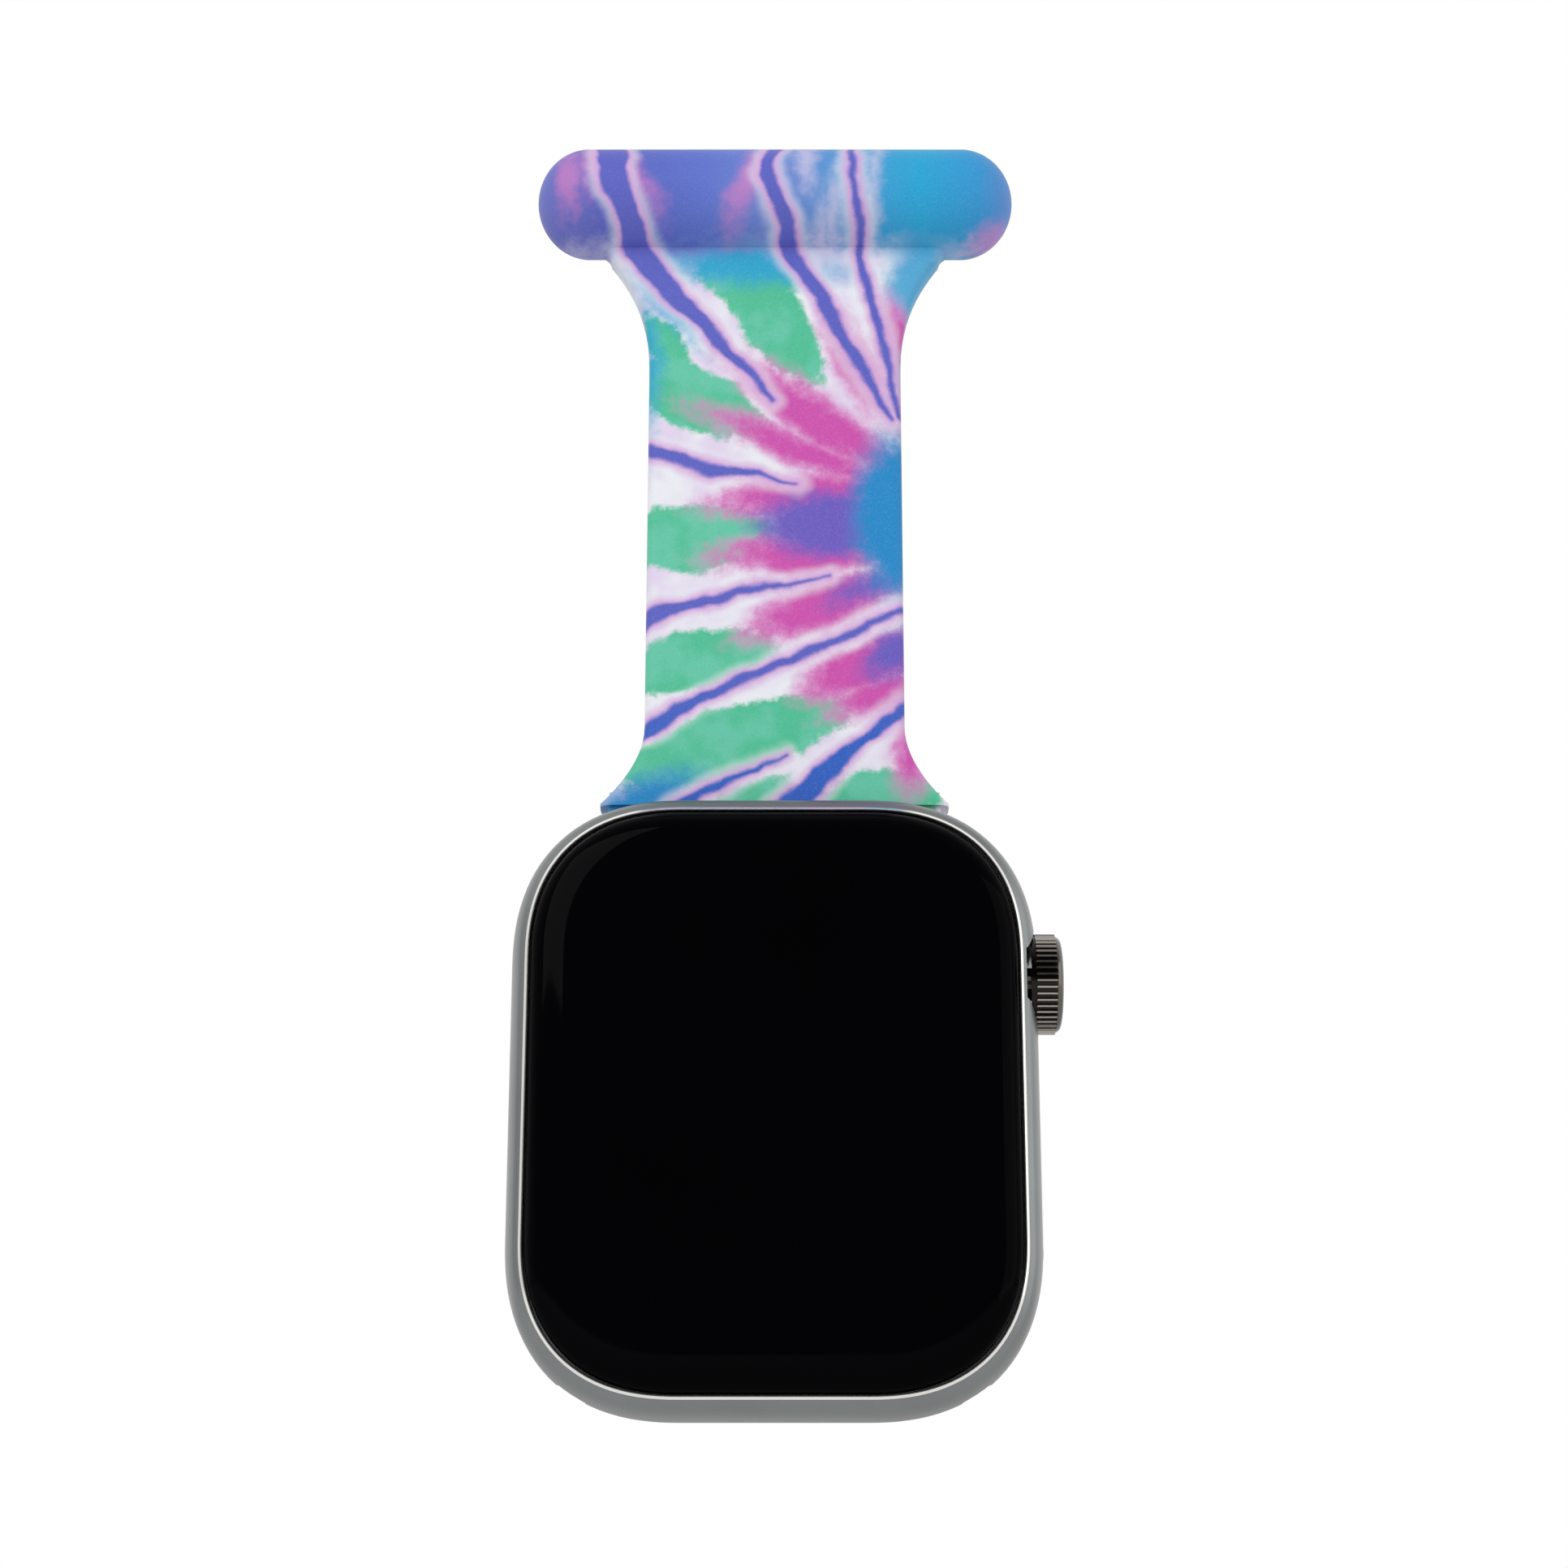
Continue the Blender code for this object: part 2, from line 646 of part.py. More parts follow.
def crown_parts():
    centre = place(0, CONTROL_DEPTH, CROWN_UP)
    profile = (
        (CROWN_RADIUS - 0.45, CROWN_BACK_X),
        (CROWN_RADIUS, CROWN_BACK_X + 0.4),
        (CROWN_RADIUS, CROWN_END_X - 0.75),
        (CROWN_RADIUS - 0.22, CROWN_END_X - 0.3),
        (CROWN_RADIUS - 0.7, CROWN_END_X),
    )
    knob = loft("crown_knob", [knurled_loop(radius, x) for radius, x in profile], steel())
    cap_radius = CROWN_RADIUS - 1.05
    socket_end = CROWN_BACK_X + 1.4
    cap_depth = 0.4
    cap_floor = CROWN_END_X - cap_depth
    cut(
        knob,
        cylinder("cap_recess", centre, "X", cap_radius + SEAT, cap_floor, CROWN_END_X + 1, None),
        cylinder("shaft_socket", centre, "X", SHAFT_RADIUS + SEAT, CROWN_BACK_X - 1, socket_end, None),
    )
    cap_low = cap_floor + SEAT
    profile = [(0, cap_low), (cap_radius, cap_low), (cap_radius, CROWN_END_X - 0.08), (0, CROWN_END_X + 0.02)]
    cap = lathe("crown_cap", profile, centre, "X", component())

    encoder = (CAVITY_HALF_X - 1.3, CAVITY_HALF_X - 0.3)
    tip = 0.9
    shaft_end = encoder[0] - 0.2
    profile = [
        (0, shaft_end), (tip, shaft_end), (tip, encoder[1] + SEAT), (SHAFT_RADIUS, encoder[1] + SEAT),
        (SHAFT_RADIUS, socket_end - SEAT), (0, socket_end - SEAT),
    ]
    shaft = lathe("crown_shaft", profile, centre, "X", steel(), 24)
    wheel = tube("encoder_wheel", centre, "X", tip + SEAT, ENCODER_RADIUS, *encoder, component(), 24)

    bush_low, bush_high = CAVITY_HALF_X + SEAT, CROWN_FACE_X - SEAT
    seal_wide = SHAFT_RADIUS + 0.55
    groove = bush_low + 0.6
    profile = [
        (SHAFT_RADIUS + RUN, groove), (seal_wide, groove), (seal_wide, bush_low),
        (BUSH_RADIUS, bush_low), (BUSH_RADIUS, bush_high), (SHAFT_RADIUS + RUN, bush_high),
    ]
    lathe("crown_bush", profile, centre, "X", steel(), 24, closed=True)
    seal_high = groove - SEAT
    tube("crown_seal", centre, "X", SHAFT_RADIUS + RUN, seal_wide - SEAT, bush_low, seal_high, rubber(), 24)

    plate_high = shaft_end - SEAT
    plate_low = plate_high - 0.3
    press_plate = cylinder("crown_press_plate", centre, "X", 1.25, plate_low, plate_high, spring_steel(), 24)
    switch_high = plate_low - CROWN_TRAVEL - 0.05
    profile = [(0, switch_high - 1.3), (1.4, switch_high - 1.3), (1.4, switch_high - 0.45),
               (1.0, switch_high - 0.35), (0.6, switch_high - 0.1), (0, switch_high)]
    lathe("crown_switch", profile, centre, "X", component(), 20)
    wall = switch_high - 1.3 - SEAT
    up = (CROWN_UP - 2.0, CROWN_UP + 2.0)
    depth = (STACK_NEAR, PLATE_NEAR - SEAT)
    bracket = case_block("crown_bracket", (wall - 0.4, wall), depth, up, spring_steel())
    foot = case_block("bracket_foot", (wall - 1.6, wall - 0.2), (depth[1] - 0.4, depth[1]), up, None)
    join(bracket, foot)
    case_block("encoder_sensor", (encoder[0], CAVITY_HALF_X - SEAT), (4.0, 6.0),
               (CROWN_UP - 3.1, CROWN_UP - ENCODER_RADIUS - 0.15), component())

    press = carry(centre + Vector((CROWN_FACE_X, 0, 0)), "crown_press_axis", press_plate)
    turn = carry(centre + Vector((CROWN_FACE_X, 0, 0)), "crown_turn_axis", knob, cap, shaft, wheel)
    turn.parent = press
    turn.matrix_parent_inverse = Matrix.Translation(-press.location)


def button_parts():
    outer_x = CASE_WIDTH / 2
    seat = outer_x - BUTTON_SEAT
    back = seat + BUTTON_TRAVEL + 0.05
    low_x = CAVITY_HALF_X - 0.6
    face_x = outer_x + 0.05
    loops = [
        [place(x, CONTROL_DEPTH + across, BUTTON_UP + along)
         for along, across in stadium(BUTTON_LENGTH - inset, BUTTON_WIDTH - inset)]
        for x, inset in ((back, 0.0), (face_x - 0.2, 0.0), (face_x, 0.3))
    ]
    button = loft("side_button", loops, aluminium())
    high_x = back + 0.3
    join(button, side_slot("button_plunger", BUTTON_UP, PLUNGER_LENGTH, PLUNGER_WIDTH, low_x, high_x, None))
    carry(place(outer_x, CONTROL_DEPTH, BUTTON_UP), "side_button_axis", button)

    switch_high = low_x - BUTTON_TRAVEL - 0.05
    case_block("side_switch", (switch_high - 1.0, switch_high), (3.9, 6.1),
               (BUTTON_UP - 1.6, BUTTON_UP + 1.6), component())
    wall = switch_high - 1.0 - SEAT
    case_block("side_bracket", (wall - 0.3, wall), (STACK_NEAR, PLATE_NEAR - SEAT),
               (BUTTON_UP - 4.6, BUTTON_UP + 4.6), spring_steel())
    seal_high = CAVITY_HALF_X - SEAT
    seal = side_slot("side_button_seal", BUTTON_UP, PLUNGER_LENGTH + 1.4, PLUNGER_WIDTH + 1.4,
                     seal_high - 0.4, seal_high, rubber())
    cut(seal, side_slot("seal_hole", BUTTON_UP, PLUNGER_LENGTH + 2 * RUN, PLUNGER_WIDTH + 2 * RUN,
                        seal_high - 1, seal_high + 1, None))


def release_button(side, word):
    """Pressed from the back, its inner end pushes the lug's latch out of the case."""
    up = release_up(side)
    flange_far = FLANGE_SEAT - 0.05
    flange_near = flange_far - RELEASE_FLANGE
    button = back_slot(f"{word}_release_button", up, RELEASE_LENGTH, RELEASE_WIDTH, flange_far - 0.1,
                       BACK_DEPTH - 0.1, aluminium())
    flange = back_slot(f"{word}_flange", up, RELEASE_LENGTH + 2 * RELEASE_LIP,
                       RELEASE_WIDTH + 2 * RELEASE_LIP, flange_near, flange_far, None)
    join(button, flange)
    carry(place(0, BACK_DEPTH, up), f"{word}_release_axis", button)


# ---------------------------------------------------------------- silicone fob


def flare(narrow, wide, height, start_z, direction, power):
    """Half widths along a concave flare from the strap's side, as (x, z), narrow end first."""
    points = []
    for i in range(FLARE_STEPS + 1):
        share = i / FLARE_STEPS
        points.append((narrow + (wide - narrow) * share**power, start_z + direction * height * share))
    return points


def strap_sides(shoulder_z):
    """The strap's half width at each height, as (x, z), from the shoulder up to the bar."""
    half = STRAP_WIDTH / 2
    neck_z = -BAR_RADIUS - 0.7
    foot_z = shoulder_z + SHOULDER_EDGE
    lower = flare(half, SHOULDER_WIDTH / 2, SHOULDER_FLARE, foot_z + SHOULDER_FLARE, -1, SHOULDER_POWER)
    upper = flare(half, NECK_WIDTH / 2, NECK_FLARE, neck_z - NECK_FLARE, 1, NECK_POWER)
    sides = [(SHOULDER_WIDTH / 2, shoulder_z)] + lower[::-1] + upper
    return sides + [(NECK_WIDTH / 2 + 0.9, neck_z + 0.9), (NECK_WIDTH / 2 + 0.9, -0.5)]


def strap_section(half, z):
    """A loop round the strap with its four edges rounded."""
    edge = min(STRAP_EDGE, STRAP_THICKNESS / 2 - 0.2)
    points = []
    for x, y, start in ((1, 1, 0), (-1, 1, 90), (-1, -1, 180), (1, -1, 270)):
        middle_x, middle_y = x * (half - edge), STRAP_Y + y * (STRAP_THICKNESS / 2 - edge)
        for i in range(4):
            angle = math.radians(start + 30 * i)
            points.append(Vector((middle_x + edge * math.cos(angle), middle_y + edge * math.sin(angle), z)))
    return points


def lug_half_length(up):
    """Half length of the lug at a height in the case, short of the case's own corner."""
    corner = CASE_CORNER
    share = min(1.0, max(0.0, (up - CASE_HEIGHT / 2 + corner) / corner))
    reach = (1 - share**CORNER_POWER) ** (1 / CORNER_POWER)
    return CASE_WIDTH / 2 - corner + corner * reach - 0.5


def fob_strap():
    shoulder_z = CASE_Z + CASE_HEIGHT / 2 + SLIP
    sections = [strap_section(half, z) for half, z in strap_sides(shoulder_z)]
    strap = loft("fob_strap", sections, silicone())

    bar_centre = (0, STRAP_Y - BAR_SET_FORWARD, 0)
    straight = BAR_LENGTH / 2 - BAR_RADIUS
    end = [
        (BAR_RADIUS * math.sin(a), straight + BAR_RADIUS * math.cos(a))
        for a in (math.pi / 2 * i / 7 for i in range(8))
    ]
    profile = [(r, -x) for r, x in end] + end[::-1]
    bar = lathe("bar", profile, bar_centre, "X", None, 32)

    top = CASE_HEIGHT / 2
    throat = THROAT_WIDTH / 2 - SLIP
    low, high = top - THROAT_HEIGHT + SLIP, top + 1.2
    lower, upper = lug_half_length(low), SHOULDER_WIDTH / 2 - 0.5
    loops = [
        [place(x, depth, up) for x, up in ((-lower, low), (lower, low), (upper, high), (-upper, high))]
        for depth in (CHANNEL_DEPTH - throat, CHANNEL_DEPTH + throat)
    ]
    throat_web = prism("throat_web", loops, None)
    join(strap, bar, throat_web)

    pocket = [
        [Vector((x, y, z)) for x, z in rounded(SLEEVE_LENGTH / 2, SLEEVE_HEIGHT / 2, 1.2, 3, 2.0)]
        for y in (-SLEEVE_DEPTH, 1.0)
    ]
    tongue = block(
        "tongue_slot",
        place(-TONGUE_HALF - SEAT, CHANNEL_DEPTH - TONGUE_THICKNESS / 2 - SEAT, low - 1),
        place(TONGUE_HALF + SEAT, CHANNEL_DEPTH + TONGUE_THICKNESS / 2 + SEAT, TONGUE_TOP + SEAT),
        None,
    )
    cut(strap, prism("brooch_pocket", pocket, None), tongue)
    return strap


def lug_parts():
    """Steel T bar that fills the channel's undercut, its tongue moulded into the strap, and its latch."""
    top = CASE_HEIGHT / 2
    low = top - CHANNEL_HEIGHT + SLIP
    high = top - THROAT_HEIGHT - SLIP
    section = [point for point in channel_section(1, SLIP) if point[1] <= high + 1e-6]
    loops = [
        [place(sign * lug_half_length(up), depth, up) for depth, up in section] for sign in (-1, 1)
    ]
    core = prism("lug_core", loops, steel())
    tongue = block(
        "tongue",
        place(-TONGUE_HALF, CHANNEL_DEPTH - TONGUE_THICKNESS / 2, high - 0.5),
        place(TONGUE_HALF, CHANNEL_DEPTH + TONGUE_THICKNESS / 2, TONGUE_TOP),
        None,
    )
    join(core, tongue)
    leaf_far = CHANNEL_BACK - SLIP - 0.1
    leaf_near = leaf_far - LEAF_THICKNESS
    middle = release_up(1)
    pocket = case_block(
        "latch_pocket", (-LEAF_HALF - SEAT, LEAF_HALF + SEAT), (leaf_near - 0.75, CHANNEL_BACK + 1),
        (middle - NOSE_HEIGHT / 2 - SEAT, middle + NOSE_HEIGHT / 2 + SEAT), None,
    )
    cut(core, pocket)

    nose_far = CHANNEL_BACK + RELEASE_TRAVEL - 0.05
    outline = [
        (-LEAF_HALF, leaf_near - 0.69), (-LEAF_HALF + 0.5, leaf_near - 0.69), (-NOSE_HALF, leaf_near),
        (NOSE_HALF, leaf_near), (LEAF_HALF - 0.5, leaf_near - 0.69), (LEAF_HALF, leaf_near - 0.69),
        (LEAF_HALF, leaf_near - 0.69 + LEAF_THICKNESS), (LEAF_HALF - 0.4, leaf_near - 0.69 + LEAF_THICKNESS),
        (NOSE_HALF, leaf_far), (NOSE_HALF - 0.3, nose_far),
        (-NOSE_HALF + 0.3, nose_far), (-NOSE_HALF, leaf_far),
        (-LEAF_HALF + 0.4, leaf_near - 0.69 + LEAF_THICKNESS),
        (-LEAF_HALF, leaf_near - 0.69 + LEAF_THICKNESS),
    ]
    loops = [
        [place(x, depth, up) for x, depth in outline]
        for up in (middle - NOSE_HEIGHT / 2, middle + NOSE_HEIGHT / 2)
    ]
    prism("lug_latch", loops, spring_steel())


# ---------------------------------------------------------------- brooch


def arc(radius, first, last, steps):
    """Points round the pin's axis as (y, z). Angles run from +Y towards +Z, in degrees."""
    angles = [math.radians(first + (last - first) * i / steps) for i in range(steps + 1)]
    return [(radius * math.cos(a), radius * math.sin(a)) for a in angles]


def cheek_outline(floor_y):
    """Side view of a catch cheek: a C that opens backwards, on a foot that stands on the plate."""
    foot = 1.3
    mouth = 60
    lean = 180 - math.degrees(math.asin(foot / CHEEK_RADIUS))
    points = arc(CHEEK_RADIUS, mouth, lean, 6)
    points += [(floor_y, foot), (floor_y, -foot)]
    points += arc(CHEEK_RADIUS, -lean, -mouth, 6)
    points += arc(CHEEK_INNER, -mouth, mouth - 360, 12)
    return points


def x_prism(name, outline, low, high, finish):
    """An extrusion along X of a (y, z) outline."""
    loops = [[Vector((x, y, z)) for y, z in outline] for x in (low, high)]
    return prism(name, loops, finish)


def brooch_base():
    near = -SLEEVE_DEPTH + SEAT
    far = near + PLATE_THICKNESS
    half_x, half_z = SLEEVE_LENGTH / 2 - PLATE_MARGIN, SLEEVE_HEIGHT / 2 - PLATE_MARGIN
    outline = rounded(half_x, half_z, 1.0, 3, 2.0)
    base = loft("brooch_base", [[Vector((x, y, z)) for x, z in outline] for y in (near, far)], steel())
    fittings = []

    inner_z = EYE_THICKNESS / 2 + RUN
    ear = [(PIVOT_X + y, z) for y, z in arc(EYE_RADIUS + 0.15, 0, 180, 10)]
    ear += [(PIVOT_X - EYE_RADIUS - 0.15, far - 0.2), (PIVOT_X + EYE_RADIUS + 0.15, far - 0.2)]
    for side in (1, -1):
        loops = [[Vector((x, y, side * z)) for x, y in ear] for z in (inner_z, inner_z + EAR_THICKNESS)]
        fittings.append(prism(f"ear_{side}", loops, None))
    low, high = CATCH_X - CATCH_LENGTH / 2, CATCH_X + CATCH_LENGTH / 2
    for word, start in (("inner", low), ("outer", high - CATCH_CHEEK)):
        fittings.append(x_prism(f"{word}_cheek", cheek_outline(far - 0.2), start, start + CATCH_CHEEK, None))
    hook = arc(HOOK_OUTER, 64, 296, 14) + arc(HOOK_INNER, 296, 64, 14)
    fittings.append(x_prism("hook", hook, low + CATCH_CHEEK / 2, high - CATCH_CHEEK / 2, None))
    join(base, *fittings)
    cut(base, cylinder("rivet_bore", (PIVOT_X, 0, 0), "Z", RIVET_RADIUS + SEAT, -3, 3, None, 20))
    return base


def brooch_pin():
    """Steel pin with a flat eye at its pivot and a ground point."""
    pivot = (PIVOT_X, 0, 0)
    pin = cylinder("brooch_pin", pivot, "Z", EYE_RADIUS, -EYE_THICKNESS / 2, EYE_THICKNESS / 2, steel(), 24)
    tip = CATCH_X + CATCH_LENGTH / 2 + 0.6
    root = PIVOT_X + 0.7
    profile = [(0, root), (PIN_RADIUS, root), (PIN_RADIUS, tip - PIN_POINT), (0.06, tip), (0, tip)]
    join(pin, lathe("pin_stem", profile, (0, 0, 0), "X", None, 16))
    cut(pin, cylinder("eye_hole", pivot, "Z", RIVET_RADIUS + RUN, -2, 2, None, 20))
    head_low = EYE_THICKNESS / 2 + RUN + EAR_THICKNESS + SEAT
    head_high = head_low + 0.3
    profile = [
        (0, -head_high), (RIVET_HEAD, -head_high), (RIVET_HEAD, -head_low), (RIVET_RADIUS, -head_low),
        (RIVET_RADIUS, head_low), (RIVET_HEAD, head_low), (RIVET_HEAD, head_high), (0, head_high),
    ]
    lathe("pin_rivet", profile, pivot, "Z", steel(), 20)
    carry(pivot, "pin_axis", pin)


def catch_lock():
    """C-shaped barrel with a thumb tab that turns round the hook and closes its mouth."""
    half = CATCH_LENGTH / 2 - CATCH_CHEEK - RUN
    mouth = 45
    inner = HOOK_OUTER + RUN
    outline = arc(LOCK_OUTER, mouth, 360 - mouth, 18) + arc(inner, 360 - mouth, mouth, 18)
    lock = x_prism("catch_lock", outline, CATCH_X - half, CATCH_X + half, steel())
    reach = half * 0.7
    tab_top = -LOCK_OUTER + 0.25
    tab = block("tab", (CATCH_X - reach, -0.3, -LOCK_TAB), (CATCH_X + reach, 0.3, tab_top), None)
    join(lock, tab)
    carry((CATCH_X, 0, 0), "catch_axis", lock)


def main():
    clear_scene()
    case_body()
    front_glass()
    display_parts()
    mid_plate()
    electronics()
    back_parts()
    crown_parts()
    button_parts()
    release_button(1, "upper")
    release_button(-1, "lower")
    fob_strap()
    lug_parts()
    brooch_base()
    brooch_pin()
    catch_lock()


main()
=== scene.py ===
# Digital fob watch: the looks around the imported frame.
import json
import math

import bpy
from mathutils import Euler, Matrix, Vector


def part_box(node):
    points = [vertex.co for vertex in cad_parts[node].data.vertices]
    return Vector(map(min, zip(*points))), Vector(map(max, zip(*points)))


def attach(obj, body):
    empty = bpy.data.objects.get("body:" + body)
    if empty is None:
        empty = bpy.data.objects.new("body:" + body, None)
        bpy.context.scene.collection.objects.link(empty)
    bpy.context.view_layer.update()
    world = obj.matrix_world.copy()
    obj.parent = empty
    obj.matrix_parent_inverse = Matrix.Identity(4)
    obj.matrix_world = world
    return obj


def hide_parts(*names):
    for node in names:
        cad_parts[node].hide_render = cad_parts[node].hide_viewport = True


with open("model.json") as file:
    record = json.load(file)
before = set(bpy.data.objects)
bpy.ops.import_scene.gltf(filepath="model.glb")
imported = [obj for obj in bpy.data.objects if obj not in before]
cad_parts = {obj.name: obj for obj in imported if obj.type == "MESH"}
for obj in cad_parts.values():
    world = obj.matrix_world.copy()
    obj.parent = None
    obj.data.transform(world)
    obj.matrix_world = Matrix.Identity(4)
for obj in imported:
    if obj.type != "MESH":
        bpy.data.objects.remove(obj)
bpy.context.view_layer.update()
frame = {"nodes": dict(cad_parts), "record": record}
mm = 0.001
caseLow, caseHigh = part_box("case_body")
glassLow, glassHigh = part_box("cover_glass")
fobLow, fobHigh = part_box("fob_strap")
crownLow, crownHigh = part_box("crown_knob")
crystalLow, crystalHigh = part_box("back_crystal")
coverLow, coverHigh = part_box("back_cover")
buttonLow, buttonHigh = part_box("side_button")
caseMiddle = (caseLow + caseHigh) / 2
frontY = glassLow.y
crownMiddle = (crownLow + crownHigh) / 2


# ---- small tools for modelling


def deselectAll():
    if bpy.context.object and bpy.context.object.mode != "OBJECT":
        bpy.ops.object.mode_set(mode="OBJECT")
    bpy.ops.object.select_all(action="DESELECT")


def activate(piece):
    deselectAll()
    piece.select_set(True)
    bpy.context.view_layer.objects.active = piece


def named(name):
    piece = bpy.context.object
    piece.name = piece.data.name = name
    return piece


def settle(piece):
    # puts the place, turn and size of a new primitive into its mesh
    activate(piece)
    bpy.ops.object.transform_apply(location=True, rotation=True, scale=True)
    return piece


def addBlock(name, low, high):
    deselectAll()
    low, high = Vector(low), Vector(high)
    bpy.ops.mesh.primitive_cube_add(size=1, location=(low + high) / 2)
    piece = named(name)
    piece.scale = high - low
    return settle(piece)


def addRod(name, centre, radius, length, axis="Y", sides=96):
    deselectAll()
    turn = {"X": (0, math.pi / 2, 0), "Y": (math.pi / 2, 0, 0), "Z": (0, 0, 0)}[axis]
    bpy.ops.mesh.primitive_cylinder_add(
        vertices=sides, radius=radius, depth=length, location=centre, rotation=turn
    )
    return settle(named(name))


def pick(piece, kind, wanted):
    # leaves the piece in edit mode with only the wanted faces, edges or points selected
    activate(piece)
    bpy.ops.object.mode_set(mode="EDIT")
    bpy.ops.mesh.select_mode(type=kind)
    bpy.ops.mesh.select_all(action="DESELECT")
    bpy.ops.object.mode_set(mode="OBJECT")
    mesh = piece.data
    for part in {"FACE": mesh.polygons, "EDGE": mesh.edges, "VERT": mesh.vertices}[kind]:
        part.select = bool(wanted(part))
    bpy.ops.object.mode_set(mode="EDIT")


def edgeEnds(piece, edge):
    return [piece.data.vertices[i].co for i in edge.vertices]


def roundUprights(piece, axis, radius, segments, squareness=0.5):
    # rounds the four edges of a block that run along an axis; squareness 0.5 is a circle's arc
    def alongAxis(edge):
        first, last = edgeEnds(piece, edge)
        return abs((first - last).normalized()[axis]) > 0.9

    pick(piece, "EDGE", alongAxis)
    bpy.ops.mesh.bevel(
        offset_type="OFFSET", offset=radius, segments=segments, profile=squareness, affect="EDGES"
    )
    bpy.ops.object.mode_set(mode="OBJECT")
    return piece


def stepFace(piece, normal, steps):
    # insets the end face again and again; a step is (inward, outward along the normal) in mm
    direction = Vector(normal)
    reach = max(v.co.dot(direction) for v in piece.data.vertices)
    pick(
        piece,
        "FACE",
        lambda face: face.normal.dot(direction) > 0.99 and face.center.dot(direction) > reach - 1e-5,
    )
    for inward, outward in steps:
        if inward == 0:
            move = direction * outward * mm
            bpy.ops.mesh.extrude_region_move(TRANSFORM_OT_translate={"value": move})
        else:
            bpy.ops.mesh.inset(thickness=inward * mm, depth=outward * mm, use_even_offset=True)
    bpy.ops.object.mode_set(mode="OBJECT")
    return piece


def differences(profile):
    # (inset, height) points into the steps between them
    return [
        (after[0] - before[0], after[1] - before[1]) for before, after in zip(profile, profile[1:])
    ]


def carve(piece, cutters, operation="DIFFERENCE"):
    for cutter in cutters:
        activate(piece)
        change = piece.modifiers.new("carve", "BOOLEAN")
        change.operation = operation
        change.solver = "EXACT"
        change.object = cutter
        bpy.ops.object.modifier_apply(modifier=change.name)
        bpy.data.objects.remove(cutter)
    return piece


def soften(piece, width, segments=2, angle=35):
    activate(piece)
    change = piece.modifiers.new("soften", "BEVEL")
    change.width = width * mm
    change.segments = segments
    change.limit_method = "ANGLE"
    change.angle_limit = math.radians(angle)
    change.harden_normals = False
    bpy.ops.object.modifier_apply(modifier=change.name)
    return piece


def smooth(piece, angle=32):
    activate(piece)
    bpy.ops.object.mode_set(mode="EDIT")
    bpy.ops.mesh.select_all(action="SELECT")
    bpy.ops.mesh.remove_doubles(threshold=1e-6)
    bpy.ops.mesh.normals_make_consistent(inside=False)
    bpy.ops.object.mode_set(mode="OBJECT")
    bpy.ops.object.shade_smooth_by_angle(angle=math.radians(angle))
    return piece


def wear(piece, *finishes):
    piece.data.materials.clear()
    for finish in finishes:
        piece.data.materials.append(finish)


def stadiumBlock(name, centre, length, width, low, high, axis="X"):
    # a slot-shaped block: long along Z through the side, or along X through the back
    half = Vector((0, width / 2, length / 2)) if axis == "X" else Vector((length / 2, 0, width / 2))
    start, end = Vector(centre) - half, Vector(centre) + half
    index = "XYZ".index(axis)
    start[index], end[index] = low, high
    piece = roundUprights(addBlock(name, start, end), index, width / 2 * 0.999, 12)
    activate(piece)
    bpy.ops.object.mode_set(mode="EDIT")
    bpy.ops.mesh.select_all(action="SELECT")
    bpy.ops.mesh.remove_doubles(threshold=0.01 * mm)
    bpy.ops.object.mode_set(mode="OBJECT")
    return piece


# ---- shader maths


class Wire:
    # an output socket that adds Math nodes as it is used in an expression
    def __init__(self, finish, socket):
        self.finish, self.socket = finish, socket

    def math(self, operation, *values):
        made = self.finish.tree.nodes.new("ShaderNodeMath")
        made.operation = operation
        for place, value in enumerate(values):
            self.finish.plug(made.inputs[place], value)
        return Wire(self.finish, made.outputs[0])

    def __add__(self, other):
        return self.math("ADD", self, other)

    __radd__ = __add__

    def __sub__(self, other):
        return self.math("SUBTRACT", self, other)

    def __rsub__(self, other):
        return self.math("SUBTRACT", other, self)

    def __mul__(self, other):
        return self.math("MULTIPLY", self, other)

    __rmul__ = __mul__

    def __truediv__(self, other):
        return self.math("DIVIDE", self, other)

    def __abs__(self):
        return self.math("ABSOLUTE", self)

    def least(self, other):
        return self.math("MINIMUM", self, other)

    def most(self, other):
        return self.math("MAXIMUM", self, other)

    def sine(self):
        return self.math("SINE", self)

    def root(self):
        return self.math("SQRT", self)

    def limited(self):
        return self.math("MINIMUM", self.math("MAXIMUM", self, 0.0), 1.0)

    def fade(self, start, end):
        # 0 at start to 1 at end, eased
        sockets = {
            "Value": self,
            "From Min": min(start, end),
            "From Max": max(start, end),
            "To Min": float(start > end),
            "To Max": float(start < end),
        }
        return self.finish.node("MapRange", {"interpolation_type": "SMOOTHSTEP"}, sockets)


def colour(code):
    # a colour as written on a screen, such as 5b6cc9, into the shader's linear values
    values = [int(code[i : i + 2], 16) / 255 for i in (0, 2, 4)]
    return [v / 12.92 if v <= 0.04045 else ((v + 0.055) / 1.055) ** 2.4 for v in values] + [1.0]


